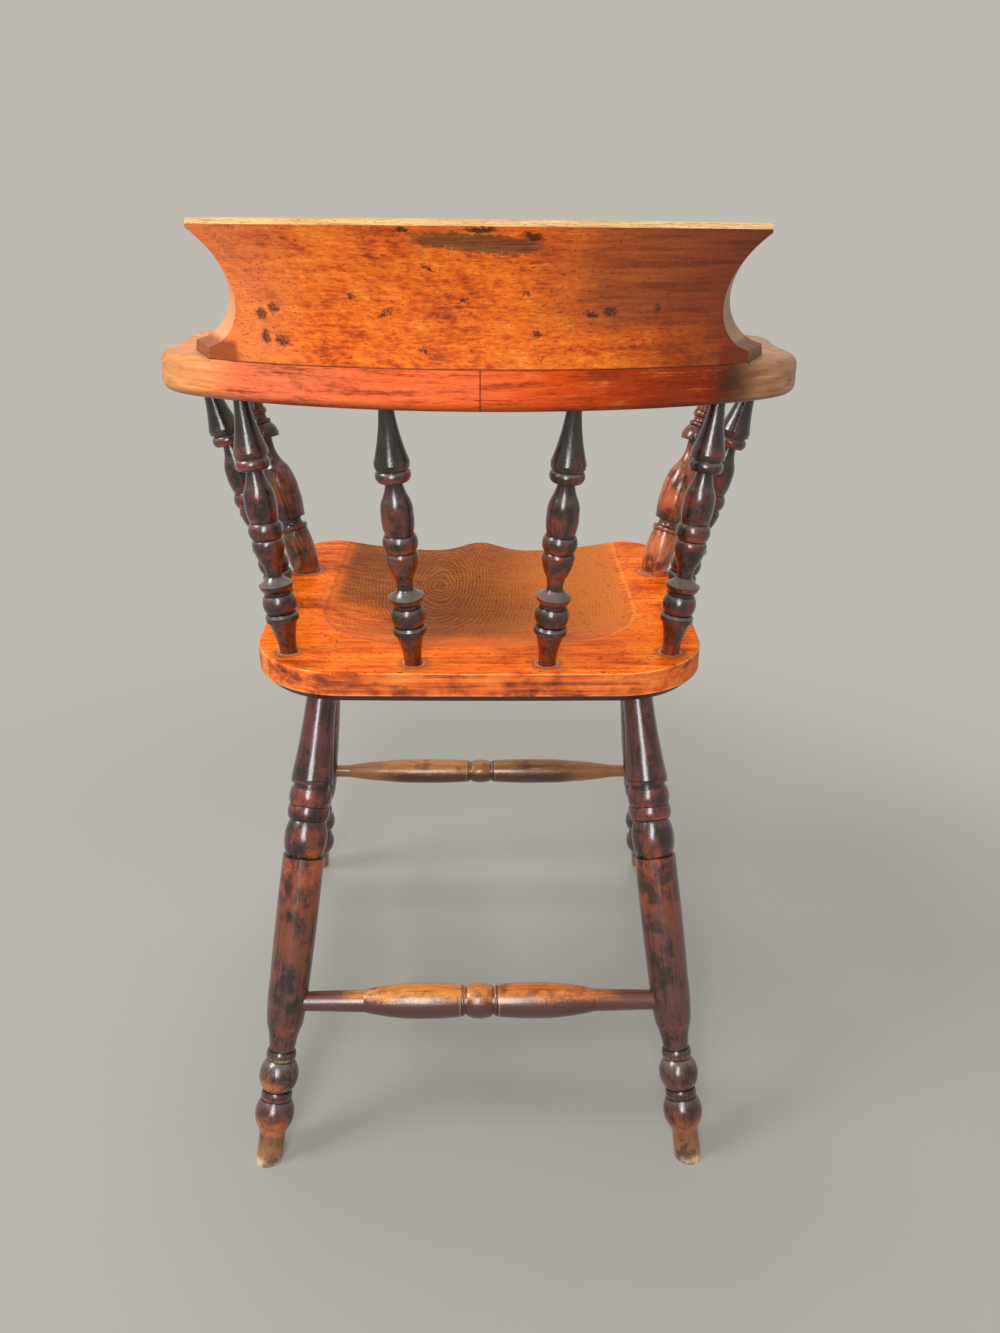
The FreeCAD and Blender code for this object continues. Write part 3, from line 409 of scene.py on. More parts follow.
def crest_wood():
    look = Look("crest_wood")
    wood = bow_wood(look)
    shade = crest_figure(look, wood)
    shade = crest_ends(look, wood, shade)
    shade, marks = crest_marks(look, wood, shade)
    pores = look.step(look.streaks(wood.place, CREST_PORES, detail=2.0), 0.62, 0.7)
    shade = look.cover(shade, PORE_DARK, pores, 0.7)
    shade = crest_edges(look, wood, shade)
    # The grimy seam under it
    shade = look.cover(shade, SEAM_DARK, look.band(wood.up, BOW_TOP_Z, SEAM_HALF_WIDTH), 0.85)
    relief = look.sum_of((wood.grain, 0.4), (wood.fibre, 0.35), (pores, -0.35), *marks)
    rough = look.step(wood.cloud, *CLOUD_RANGE, start=0.46, end=0.34)
    return look.finish(
        shade, relief, rough, relief_height=0.0005, sheen_level=0.3, coat=0.08, coat_roughness=0.2
    )


# Colours of the two arms, from the deep red of the right end of the bow to the pink of its left end:
# varnish, with the pink partly a painted sheen and the deep red partly painted shade
BOW_GRADIENT_REACH = (-0.2, 0.2)
BOW_VARNISH_AND_PAINTED_LIGHT = [
    (0.0, colour(132, 40, 2)),
    (0.2, colour(184, 62, 4)),
    (0.35, colour(210, 76, 10)),
    (0.48, colour(224, 90, 30)),
    (0.62, colour(230, 96, 30)),
    (0.78, colour(220, 96, 44)),
    (1.0, colour(214, 106, 68)),
]
BOW_STREAK_DARK = colour(116, 32, 4)
BOW_STREAK_PALE = colour(244, 142, 76)
BOW_SMUDGE = colour(110, 40, 24)


def arm_varnish_and_painted_light(look, wood, shifted):
    # Painted light in part: the pink towards the left end is a painted sheen, the deep red towards the right
    # painted shade
    base = look.ramp(look.step(shifted, *BOW_GRADIENT_REACH), BOW_VARNISH_AND_PAINTED_LIGHT)
    streaky = look.sum_of((wood.grain, 0.5), (wood.fibre, 0.25), (wood.tone, 0.25))
    shade = look.cover(base, BOW_STREAK_DARK, look.step(streaky, 0.52, 0.38, start=0.0, end=0.8))
    shade = look.cover(shade, BOW_STREAK_PALE, look.step(streaky, 0.52, 0.64, start=0.0, end=0.4))
    return look.cover(shade, BOW_SMUDGE, look.step(wood.cloud, 0.58, 0.7), 0.45)


# Worn elbows and hands: where they start along the bow, and a burn as place along and up, half sizes, slant
WORN_START = (0.205, 0.245)
WORN_LEFT = [(0.25, colour(170, 88, 38)), (0.5, colour(212, 138, 78)), (0.8, colour(226, 170, 112))]
WORN_RIGHT = [(0.25, colour(110, 70, 42)), (0.5, colour(172, 122, 84)), (0.8, colour(206, 160, 116))]
STREAK_LEFT = colour(122, 66, 36)
STREAK_RIGHT = colour(84, 56, 40)
ARM_BURN = (0.22, 0.697, 0.02, 0.022, 0)
BURN_DARK = colour(50, 28, 14)


def arm_wear(look, wood, shifted, normal_z, shade):
    """Pale on the left, grey-brown on the right, with dark streaks along the top and a burn on the right."""
    left = look.step(wood.along, *LEFT_SIDE)
    worn = look.mix(left, look.ramp(wood.grain, WORN_RIGHT), look.ramp(wood.grain, WORN_LEFT))
    far = look.step(look.size_of(shifted), *WORN_START)
    shade = look.cover(shade, worn, far, 0.9)
    streaky = look.times(look.step(wood.grain, 0.46, 0.62), look.step(wood.cloud, 0.4, 0.6))
    streak_shade = look.mix(left, STREAK_RIGHT, STREAK_LEFT)
    shade = look.cover(shade, streak_shade, streaky, look.step(normal_z, 0.2, 0.7), far, 0.75)
    burn = look.oval(look.size_of(shifted), wood.up, ARM_BURN, edge=0.9)
    burnt = look.times(burn, look.step(wood.grain, 0.3, 0.55, start=0.5, end=1.0), look.minus(1.0, left))
    return look.cover(shade, BURN_DARK, burnt, 0.9)


# Grime on the arms, and painted shade on their lower edge: the seam below the crest ends with it, and the
# butt joint is at the middle
SEAM_END = (0.216, 0.206)
JOINT_HALF_WIDTH = 0.0009
LOW_EDGE_FADE = (BOW_UNDER_Z + 0.008, BOW_UNDER_Z + 0.001)
LOW_EDGE_PAINTED_SHADE = colour(92, 38, 16)
ARM_PORES = (380.0, 900.0, 900.0)
ARM_PORE_DARK = colour(70, 26, 14)


def arm_wood():
    look = Look("arm_wood")
    wood = bow_wood(look)
    normal_z = look.parts(look.normal)[2]
    shifted = look.plus(wood.along, look.wander(wood.place, scale=24.0, reach=0.01))
    shade = arm_varnish_and_painted_light(look, wood, shifted)
    shade = arm_wear(look, wood, shifted, normal_z, shade)
    # Grime in the seam below the crest and in the butt joint, and a lower edge darkened with painted shade
    seam = look.band(wood.up, BOW_TOP_Z, SEAM_HALF_WIDTH)
    seam = look.times(seam, look.step(look.size_of(wood.along), *SEAM_END))
    joint = look.times(look.band(wood.along, 0.0, JOINT_HALF_WIDTH), look.step(normal_z, 0.6, 0.3))
    shade = look.cover(shade, SEAM_DARK, look.larger(seam, joint), 0.88)
    # Painted shade along the lower edge
    shade = look.cover(shade, LOW_EDGE_PAINTED_SHADE, look.step(wood.up, *LOW_EDGE_FADE), 0.6)
    pores = look.step(look.streaks(wood.place, ARM_PORES, detail=2.0), 0.65, 0.73)
    shade = look.cover(shade, ARM_PORE_DARK, pores, 0.5)
    relief = look.sum_of((wood.grain, 0.4), (wood.fibre, 0.35), (pores, -0.3), (joint, -0.8))
    rough = look.step(wood.cloud, *CLOUD_RANGE, start=0.42, end=0.3)
    return look.finish(
        shade, relief, rough, relief_height=0.0004, sheen_level=0.2, coat=0.08, coat_roughness=0.2
    )


# Seat: orange varnish, worn to brown wood with its growth layers showing in the dish

Plank = namedtuple("Plank", "x y depth normal_z tone grain fibre cloud")

# Turns a metre along X, Y and Z
SEAT_GRAIN = (9.0, 170.0, 240.0)
SEAT_FIBRE = (70.0, 800.0, 900.0)
SEAT_CLOUD_SCALE = 22.0
SEAT_TONES = (0.34, 0.66)
SEAT_VARNISH = [
    (0.0, colour(152, 54, 6)),
    (0.3, colour(206, 82, 8)),
    (0.55, colour(230, 104, 18)),
    (1.0, colour(242, 134, 44)),
]


def seat_plank(look):
    """Places on the seat, with the depth below its sloping top, and the wood's figure there."""
    x, y, z = look.parts(look.place)
    top_here = look.plus(look.times(look.minus(SEAT_REAR_Y, y), SEAT_SLOPE), SEAT_TOP_Z)
    grain = look.streaks(look.place, SEAT_GRAIN, detail=4.0, roughness=0.6)
    fibre = look.streaks(look.place, SEAT_FIBRE)
    cloud = look.noise(look.place, SEAT_CLOUD_SCALE, detail=5.0, roughness=0.62, distortion=0.4)
    tone = look.sum_of((grain, 0.4), (fibre, 0.25), (cloud, 0.35))
    return Plank(x, y, look.minus(top_here, z), look.parts(look.normal)[2], tone, grain, fibre, cloud)


# Stain of the dish, from its right side to its left, and spots as middle, half sizes and slant
DISH_START = (0.0014, 0.0045)
STAIN_REACH = (-0.19, 0.19)
DISH_STAIN = [
    (0.0, colour(204, 110, 34)),
    (0.25, colour(184, 98, 28)),
    (0.42, colour(150, 78, 14)),
    (0.6, colour(132, 66, 8)),
    (0.85, colour(118, 57, 9)),
    (1.0, colour(100, 46, 10)),
]
STAIN_PALE = colour(186, 104, 30)
STAIN_DARK = colour(86, 41, 6)
REAR_STAIN = colour(196, 84, 18)
DARK_SPOT = (0.026, -0.028, 0.085, 0.06, 0)
ORANGE_SPOT = (0.131, 0.012, 0.04, 0.045, 0)
VARNISH_FADE = (0.025, 0.095)


def dish_stain(look, plank, dish, shifted_y, shade):
    """Brown where the varnish is worn off, darkest in the middle and palest on the right."""
    shifted_x = look.plus(plank.x, look.wander(look.place, scale=18.0, reach=0.012))
    stain = look.ramp(look.step(shifted_x, *STAIN_REACH), DISH_STAIN)
    stain = look.cover(stain, STAIN_PALE, look.step(plank.grain, 0.42, 0.62), 0.35)
    stain = look.cover(stain, STAIN_DARK, look.oval(shifted_x, shifted_y, DARK_SPOT, edge=0.8), 0.6)
    orange = look.oval(shifted_x, shifted_y, ORANGE_SPOT, edge=0.8)
    rearward = look.step(shifted_y, *VARNISH_FADE)
    varnished = look.larger(look.times(orange, 0.75), rearward)
    shade = look.cover(shade, stain, dish, look.minus(1.0, varnished), 0.92)
    return look.cover(shade, REAR_STAIN, dish, rearward, 0.35)


# Growth layers round their centre in the dish
RING_CENTRE = (0.0447, -0.107)
RING_STRETCH = 0.36
RING_SLOPE = 0.5
RING_SPACING = 0.0036
RING_FADE_Y = (0.09, 0.0)
RING_FADE_RADIUS = (0.02, 0.12)
RING_DARK = colour(72, 34, 12)
RING_PALE = colour(200, 124, 60)


def growth_layers(look, plank, dish, shifted_y, shade):
    """The rings' colour, their wave from -1 to 1 and how much of them shows."""
    across = look.minus(plank.x, RING_CENTRE[0])
    lengthwise = look.times(look.minus(plank.y, RING_CENTRE[1]), RING_STRETCH)
    radius = look.vector("LENGTH", look.joined(across, lengthwise, look.times(plank.depth, RING_SLOPE)))
    waver = look.wander(look.place, scale=20.0, reach=0.003)
    tremble = look.wander(look.place, scale=75.0, reach=0.0006)
    layer = look.plus(radius, waver, tremble)
    rings = look.math("SINE", look.times(layer, 2 * math.pi / RING_SPACING))
    shown = look.times(
        dish,
        look.step(shifted_y, *RING_FADE_Y),
        look.step(plank.fibre, 0.3, 0.62, start=0.08, end=0.4),
        look.step(radius, *RING_FADE_RADIUS, start=1.0, end=0.4),
        look.step(plank.cloud, 0.3, 0.55, start=0.5, end=1.0),
    )
    shade = look.cover(shade, RING_DARK, look.step(rings, -0.2, 0.9), shown)
    shade = look.cover(shade, RING_PALE, look.step(rings, -0.2, -0.95), shown, 0.8)
    return shade, rings, shown


# The dish's edge, by its depth, and grime and painted shade round the uprights, by the distance from their
# feet
DISH_EDGE_DEPTH = 0.0017
DISH_EDGE_HALF_DEPTH = 0.0007
DISH_EDGE_LEFT = (0.0, 0.1)
DISH_EDGE_RIGHT = (-0.06, -0.13)
DISH_EDGE_DARK = colour(120, 58, 24)
DISH_EDGE_PALE = colour(236, 156, 80)
GRIME_AND_SHADE_START = 0.0015
GRIME_AND_SHADE_END = 0.011
GRIME_RIM = 0.0022
GRIME_RIM_HALF_WIDTH = 0.0012
GRIME_AND_PAINTED_SHADE = colour(104, 60, 44)
GRIME_RIM_SHADE = colour(190, 172, 156)


def dish_edge(look, plank, shade):
    """Darker along the dish's edge on the left, paler along it on the right."""
    edge = look.band(plank.depth, DISH_EDGE_DEPTH, DISH_EDGE_HALF_DEPTH)
    edge = look.times(edge, look.step(plank.normal_z, 0.6, 0.85))
    shade = look.cover(shade, DISH_EDGE_DARK, edge, look.step(plank.x, *DISH_EDGE_LEFT), 0.4)
    return look.cover(shade, DISH_EDGE_PALE, edge, look.step(plank.x, *DISH_EDGE_RIGHT), 0.4)


def upright_grime_and_shade(look, plank, shade):
    """Grime and painted shade round the feet of the spindles and posts, darkest at the feet, with a pale
    rim.
    """
    uprights = [(place, SPINDLE_FOOT_RADIUS) for place in SPINDLE_FEET]
    uprights += [(place, POST_FOOT_RADIUS) for place in POST_FEET]
    flat = look.joined(look.size_of(plank.x), plank.y, 0.0)
    grime_and_shade = 0.0
    rim = 0.0
    for (foot_x, foot_y), radius in uprights:
        away = look.vector("DISTANCE", flat, (foot_x, foot_y, 0.0))
        ragged = look.plus(away, look.wander(look.place, scale=120.0, reach=0.002))
        grime_and_shade = look.larger(grime_and_shade, look.step(ragged, radius + GRIME_AND_SHADE_START, radius + GRIME_AND_SHADE_END, 1.0, 0.0))
        rim = look.larger(rim, look.band(ragged, radius + GRIME_RIM, GRIME_RIM_HALF_WIDTH))
    on_top = look.step(plank.normal_z, 0.6, 0.9)
    # Painted shade in part: darker where the uprights meet the seat
    shade = look.cover(shade, GRIME_AND_PAINTED_SHADE, grime_and_shade, on_top, 0.62)
    return look.cover(shade, GRIME_RIM_SHADE, rim, on_top, 0.6)


# Sides of the seat, with the depths of the bevel under them and of both arrises
SIDE_TONES = (0.32, 0.68)
SIDE_SHADES = [
    (0.0, colour(96, 46, 40)),
    (0.3, colour(172, 80, 40)),
    (0.55, colour(220, 104, 44)),
    (1.0, colour(240, 134, 70)),
]
SIDE_PATCHES = (26.0, 26.0, 60.0)
SIDE_PATCH_DARK = colour(92, 48, 42)
BEVEL_START = (UNDER_BEVEL_DEPTH - 0.0004, UNDER_BEVEL_DEPTH + 0.0008)
BEVEL_SHADES = [(0.3, colour(46, 28, 22)), (0.7, colour(92, 60, 44))]
TOP_ARRIS_FADE = (0.006, 0.003)
TOP_ARRIS_RUBBED_AND_LIT = colour(244, 176, 110)
LOW_ARRIS_DEPTH = UNDER_BEVEL_DEPTH - 0.0006
LOW_ARRIS_HALF_DEPTH = 0.0011
LOW_ARRIS_PALE = colour(230, 158, 98)


def seat_sides(look, plank, shade):
    """Mottled orange and purple-brown, a dark bevel under them, and both arrises rubbed pale, the top one
    partly a painted highlight.
    """
    side_tone = look.sum_of((plank.grain, 0.45), (plank.cloud, 0.55))
    side = look.ramp(look.step(side_tone, *SIDE_TONES), SIDE_SHADES)
    patches = look.step(look.streaks(look.place, SIDE_PATCHES, detail=4.0, roughness=0.6), 0.55, 0.68)
    side = look.cover(side, SIDE_PATCH_DARK, patches, 0.7)
    shade = look.cover(shade, side, look.step(plank.normal_z, 0.35, 0.15))
    not_top = look.step(plank.normal_z, 0.3, 0.1)
    bevel = look.ramp(plank.tone, BEVEL_SHADES)
    shade = look.cover(shade, bevel, look.step(plank.depth, *BEVEL_START), not_top)
    # The top arris: rubbed pale wood and, in part, a painted highlight
    top_arris = look.times(look.band(plank.normal_z, 0.55, 0.34), look.step(plank.depth, *TOP_ARRIS_FADE))
    shade = look.cover(shade, TOP_ARRIS_RUBBED_AND_LIT, top_arris, look.step(plank.cloud, 0.36, 0.56), 0.7)
    low_arris = look.times(look.band(plank.depth, LOW_ARRIS_DEPTH, LOW_ARRIS_HALF_DEPTH), not_top)
    return look.cover(shade, LOW_ARRIS_PALE, low_arris, look.step(plank.cloud, 0.4, 0.58), 0.65)


SEAT_PORES = (200.0, 460.0, 600.0)
SEAT_PORE_DARK = colour(78, 26, 6)


def seat_wood():
    look = Look("seat_wood")
    plank = seat_plank(look)
    shade = look.ramp(look.step(plank.tone, *SEAT_TONES), SEAT_VARNISH)
    dish = look.times(look.step(plank.depth, *DISH_START), look.step(plank.normal_z, 0.5, 0.8))
    shifted_y = look.plus(plank.y, look.wander(look.place, scale=16.0, reach=0.016))
    shade = dish_stain(look, plank, dish, shifted_y, shade)
    shade, rings, rings_shown = growth_layers(look, plank, dish, shifted_y, shade)
    shade = dish_edge(look, plank, shade)
    shade = upright_grime_and_shade(look, plank, shade)
    pores = look.step(look.streaks(look.place, SEAT_PORES, detail=2.0), 0.61, 0.68)
    shade = look.cover(shade, SEAT_PORE_DARK, pores, 0.85)
    shade = seat_sides(look, plank, shade)
    ring_relief = look.times(rings, rings_shown)
    relief = look.sum_of((plank.grain, 0.35), (plank.fibre, 0.35), (pores, -0.6), (ring_relief, 0.5))
    rough = look.step(plank.tone, 0.35, 0.7, start=0.36, end=0.5)
    return look.finish(
        shade, relief, rough, relief_height=0.0004, sheen_level=0.08, coat=0.04, coat_roughness=0.18
    )


# Turned pieces: near-black stain with grey on the upward faces, partly dust and partly a painted sheen,
# rubbed red where they swell

# Turns a metre across the axis, and how much slower the grain changes along it
TURNED_GRAIN = (420.0, 420.0, 420.0)
GRAIN_SQUEEZE = 0.09


def turning_axis(node):
    """The low end of a turned piece's axis and the axis's direction, from the piece's own points."""
    points = np.empty(len(node.data.vertices) * 3)
    node.data.vertices.foreach_get("co", points)
    points = points.reshape(-1, 3)
    middle = points.mean(axis=0)
    _, turns = np.linalg.eigh(np.cov((points - middle).T))
    direction = turns[:, 2]
    if direction[np.argmax(np.abs(direction))] < 0:
        direction = -direction
    lowest = ((points - middle) @ direction).min()
    return tuple(middle + direction * lowest), tuple(direction)


def turned_places(look, node):
    """Places on a turned piece: along its axis, out from it, how far its face looks along it, and grain."""
    low_end, direction = turning_axis(node)
    offset = look.vector("SUBTRACT", look.place, low_end)
    along = look.vector("DOT_PRODUCT", offset, direction)
    onto_axis = look.scaled(direction, along)
    outward = look.vector("SUBTRACT", offset, onto_axis)
    facing = look.vector("DOT_PRODUCT", look.normal, direction)
    squeezed = look.scaled(onto_axis, GRAIN_SQUEEZE)
    grain_place = look.vector("ADD", look.vector("ADD", outward, squeezed), low_end)
    return along, look.vector("LENGTH", outward), facing, grain_place


# Shades along the uprights: height over the foot in metres, base shade, shade where it is rubbed
LEG_SHADES = [
    (0.000, colour(206, 178, 142), colour(222, 196, 160)),
    (0.004, colour(150, 106, 64), colour(188, 138, 86)),
    (0.020, colour(128, 78, 44), colour(176, 104, 56)),
    (0.034, colour(96, 44, 22), colour(180, 90, 38)),
    (0.057, colour(70, 40, 30), colour(150, 78, 42)),
    (0.066, colour(60, 36, 27), colour(166, 84, 42)),
    (0.095, colour(78, 52, 40), colour(160, 116, 84)),
    (0.105, colour(66, 40, 29), colour(124, 62, 34)),
    (0.170, colour(70, 42, 32), colour(126, 62, 38)),
    (0.230, colour(82, 42, 31), colour(150, 62, 34)),
    (0.262, colour(98, 42, 26), colour(190, 80, 28)),
    (0.284, colour(110, 48, 26), colour(212, 100, 38)),
    (0.290, colour(50, 32, 27), colour(168, 70, 30)),
    (0.330, colour(64, 30, 24), colour(166, 64, 30)),
    (0.360, colour(64, 32, 28), colour(140, 58, 38)),
    (0.450, colour(92, 40, 28), colour(172, 74, 38)),
]
SPINDLE_SHADES = [
    (0.000, colour(100, 40, 18), colour(180, 84, 36)),
    (0.020, colour(56, 24, 15), colour(124, 46, 20)),
    (0.034, colour(32, 20, 16), colour(118, 40, 18)),
    (0.080, colour(34, 20, 16), colour(124, 40, 18)),
    (0.150, colour(36, 19, 14), colour(160, 58, 22)),
    (0.178, colour(40, 23, 18), colour(148, 56, 26)),
    (0.200, colour(36, 26, 23), colour(76, 46, 36)),
    (0.250, colour(28, 22, 21), colour(48, 36, 33)),
]
POST_SHADES = [
    (0.000, colour(116, 52, 26), colour(232, 136, 66)),
    (0.044, colour(72, 38, 28), colour(222, 120, 56)),
    (0.060, colour(46, 29, 25), colour(124, 56, 34)),
    (0.080, colour(92, 40, 26), colour(226, 112, 48)),
    (0.130, colour(70, 38, 30), colour(216, 130, 76)),
    (0.147, colour(50, 32, 28), colour(170, 90, 56)),
    (0.190, colour(62, 36, 29), colour(206, 116, 66)),
    (0.250, colour(40, 28, 26), colour(120, 64, 44)),
]
# The right post's shades, lighter and more orange than the left post's: in part painted light
RIGHT_POST_LIT_SHADES = [
    (0.000, colour(198, 104, 48), colour(240, 160, 92)),
    (0.044, colour(176, 86, 40), colour(236, 150, 84)),
    (0.060, colour(60, 36, 29), colour(150, 74, 42)),
    (0.080, colour(186, 84, 36), colour(240, 150, 84)),
    (0.130, colour(160, 78, 44), colour(232, 158, 102)),
    (0.147, colour(60, 37, 31), colour(180, 100, 64)),
    (0.190, colour(150, 72, 40), colour(218, 130, 78)),
    (0.250, colour(56, 36, 30), colour(140, 78, 52)),
]

# Heights of the grooves between the turned beads, in metres over the foot
LEG_GROOVES = (0.0570, 0.0655, 0.0945, 0.1035, 0.2865, 0.3215, 0.3340, 0.3525, 0.3590)
SPINDLE_GROOVES = (0.0384, 0.0558, 0.0727, 0.1071, 0.1225, 0.1694, 0.1795)
POST_GROOVES = (0.0467, 0.0517, 0.0596, 0.1470, 0.1629, 0.1669, 0.1729, 0.1788)
GROOVE_HALF_WIDTH = 0.0015
GROOVE_DARK = colour(13, 8, 7)

# A kind of upright: its shades, its grooves and its length, where it starts over its low end, its grey of
# dust and painted sheen on upward faces, the radius from which it is rubbed, how much of the rubbed red it
# gets, and how much of the dark streaks its foot keeps
Turning = namedtuple("Turning", "shades grooves length start bloom rub_radius rub_share streak_at_foot")
RIGHT_LEG = Turning(
    LEG_SHADES, LEG_GROOVES, LEG_LENGTH, FOOT_CUT,
    bloom=0.55, rub_radius=0.019, rub_share=0.6, streak_at_foot=0.35,
)
LEFT_LEG = RIGHT_LEG._replace(rub_share=1.0)
SPINDLE = Turning(
    SPINDLE_SHADES, SPINDLE_GROOVES, UPRIGHT_LENGTH, SEAT_TENON,
    bloom=0.5, rub_radius=0.0135, rub_share=0.85, streak_at_foot=1.0,
)
LEFT_POST = Turning(
    POST_SHADES, POST_GROOVES, UPRIGHT_LENGTH, SEAT_TENON,
    bloom=0.4, rub_radius=0.0145, rub_share=0.5, streak_at_foot=0.8,
)
# The right post, painted lighter in part as light falling on it
LIT_RIGHT_POST = LEFT_POST._replace(shades=RIGHT_POST_LIT_SHADES)

STREAK_DARK = colour(150, 146, 150)
STREAK_FADE = (0.0, 0.14)
FLECK_PALE = colour(214, 138, 90)
DUST_AND_SHEEN_GREY = colour(128, 116, 108)
OLD_VARNISH_IOR = 1.62


def turned_wood(node, turning):
    look = Look(node.name + "_wood")
    along, radius, facing, grain_place = turned_places(look, node)
    place = look.minus(along, turning.start)
    share = look.times(place, 1 / turning.length)
    grain = look.streaks(grain_place, TURNED_GRAIN, detail=4.0, roughness=0.6)
    cloud = look.noise(look.place, 46.0, detail=5.0, roughness=0.62, distortion=0.3)
    speck = look.noise(look.place, 620.0, detail=3.0, roughness=0.6)
    shifted = look.plus(share, look.wander(look.place, scale=60.0, reach=0.005))
    base = look.ramp(shifted, [(height / turning.length, dark) for height, dark, _ in turning.shades])
    rubbed = look.ramp(shifted, [(height / turning.length, light) for height, _, light in turning.shades])
    shade = look.cover(base, rubbed, look.step(grain, 0.52, 0.7, start=0.0, end=0.22))
    streaked = look.times(
        look.step(grain, 0.5, 0.36),
        look.step(share, *STREAK_FADE, turning.streak_at_foot, 1.0),
    )
    shade = look.mix(streaked, shade, STREAK_DARK, blend="MULTIPLY")
    shade = look.mix(look.step(cloud, 0.5, 0.36), shade, STREAK_DARK, blend="MULTIPLY")
    # Rubbed where it swells, and red where it looks a little downwards, partly the wood's own and partly a
    # painted reflection of the orange seat, in patches
    thick = look.step(radius, turning.rub_radius * 0.86, turning.rub_radius)
    downward = look.step(facing, 0.02, -0.3)
    patchy = look.step(look.plus(cloud, look.times(speck, 0.35)), 0.6, 0.8)
    swell_and_seat_reflection = look.larger(look.times(thick, 0.45), downward)
    shade = look.cover(shade, rubbed, swell_and_seat_reflection, patchy, turning.rub_share)
    flecks = look.times(look.step(speck, 0.66, 0.75), look.step(cloud, 0.45, 0.6))
    shade = look.cover(shade, FLECK_PALE, flecks, 0.6 * turning.rub_share)
    # Grey on faces that look up, partly dust and partly a painted sheen, and dark grooves, partly grime and
    # partly painted shade
    dust_and_sheen_patches = look.step(cloud, 0.3, 0.55, start=0.6, end=1.0)
    upward = look.times(look.step(facing, 0.2, 0.75), dust_and_sheen_patches, turning.bloom)
    shade = look.cover(shade, DUST_AND_SHEEN_GREY, upward)
    grime_and_shade = 0.0
    for groove in turning.grooves:
        grime_and_shade = look.larger(grime_and_shade, look.band(place, groove, GROOVE_HALF_WIDTH))
    shade = look.cover(shade, GROOVE_DARK, grime_and_shade, 0.92)
    relief = look.sum_of((grain, 0.5), (speck, 0.25), (cloud, 0.3))
    rough = look.step(look.plus(cloud, look.times(upward, 0.3)), 0.3, 0.8, start=0.3, end=0.5)
    look.surface.inputs["Coat IOR"].default_value = OLD_VARNISH_IOR
    return look.finish(
        shade, relief, rough, relief_height=0.0003, sheen_level=0.15, coat=1.0, coat_roughness=0.2
    )


# Stretchers: orange and worn on top, dark below, with dark grooves beside the middle bead, partly grime and
# partly painted shade

# A kind of stretcher: the shades of its top on the left and right, of its lower half and of its ends, and
# how far up its faces look where the lower shade ends
Rail = namedtuple("Rail", "top_left top_right low low_reach end_shade")
REAR_RAIL = Rail(
    top_left=colour(224, 140, 66),
    top_right=colour(206, 112, 48),
    low=colour(76, 42, 36),
    low_reach=(0.4, 0.8),
    end_shade=colour(84, 48, 38),
)
OTHER_RAIL = Rail(
    top_left=colour(186, 122, 64),
    top_right=colour(126, 82, 46),
    low=colour(80, 44, 28),
    low_reach=(0.0, 0.45),
    end_shade=colour(156, 98, 56),
)

# Distances from the middle, in metres
RAIL_GROOVES = (0.0125, 0.0155)
RAIL_RING = 0.0182
RAIL_LINE_HALF_WIDTH = 0.0012
RAIL_END_START = (0.1, 0.14)
RAIL_GRAIN_DARK = colour(110, 58, 28)
RAIL_GRAIN_PALE = colour(236, 176, 110)
RAIL_SMUDGE = colour(70, 40, 30)
RAIL_PORE_DARK = colour(48, 26, 16)
RAIL_GROOVE_GRIME_AND_SHADE = colour(40, 26, 20)
RAIL_RING_PALE = colour(206, 160, 116)


def rail_wood(node, rail):
    look = Look(node.name + "_wood")
    low_end, direction = turning_axis(node)
    along, _, _, grain_place = turned_places(look, node)
    corners = np.array([corner[:] for corner in node.bound_box])
    middle = (corners.max(axis=0) + corners.min(axis=0)) / 2
    half_length = float(np.dot(middle - np.array(low_end), np.array(direction)))
    from_middle = look.minus(along, half_length)
    normal_z = look.parts(look.normal)[2]
    grain = look.streaks(grain_place, TURNED_GRAIN, detail=4.0, roughness=0.6)
    cloud = look.noise(look.place, 38.0, detail=5.0, roughness=0.62, distortion=0.3)
    speck = look.noise(look.place, 520.0, detail=3.0, roughness=0.6)
    # The top, with a ragged border to the lower half
    share = look.plus(look.times(from_middle, 0.5 / half_length), 0.5)
    top = look.mix(look.step(share, 0.3, 0.7), rail.top_right, rail.top_left)
    top = look.cover(top, RAIL_GRAIN_DARK, look.step(grain, 0.5, 0.28, start=0.0, end=0.75))
    top = look.cover(top, RAIL_GRAIN_PALE, look.step(grain, 0.55, 0.75, start=0.0, end=0.45))
    ragged = look.times(look.minus(speck, 0.5), 0.9)
    wavering = look.plus(normal_z, look.wander(look.place, scale=40.0, reach=0.16), ragged)
    shade = look.mix(look.step(wavering, *rail.low_reach), rail.low, top)
    shade = look.cover(shade, RAIL_SMUDGE, look.step(cloud, 0.5, 0.64), 0.6)
    # The ends, pores on top, and grooves and rings beside the middle bead
    shifted = look.plus(from_middle, look.wander(look.place, scale=50.0, reach=0.008))
    shade = look.cover(shade, rail.end_shade, look.step(look.size_of(shifted), *RAIL_END_START), 0.92)
    pores = look.times(look.step(speck, 0.6, 0.7), look.step(normal_z, 0.0, 0.4))
    shade = look.cover(shade, RAIL_PORE_DARK, pores, 0.75)
    off_middle = look.size_of(from_middle)
    grooves = 0.0
    for groove in RAIL_GROOVES:
        grooves = look.larger(grooves, look.band(off_middle, groove, RAIL_LINE_HALF_WIDTH))
    # Dark grooves: partly grime, partly painted shade
    shade = look.cover(shade, RAIL_GROOVE_GRIME_AND_SHADE, grooves, 0.85)
    shade = look.cover(shade, RAIL_RING_PALE, look.band(off_middle, RAIL_RING, RAIL_LINE_HALF_WIDTH), 0.25)
    relief = look.sum_of((grain, 0.5), (speck, 0.3))
    rough = look.step(cloud, *CLOUD_RANGE, start=0.3, end=0.46)
    return look.finish(
        shade, relief, rough, relief_height=0.0003, sheen_level=0.4, coat=0.85, coat_roughness=0.2
    )


# Pegs: bare wood

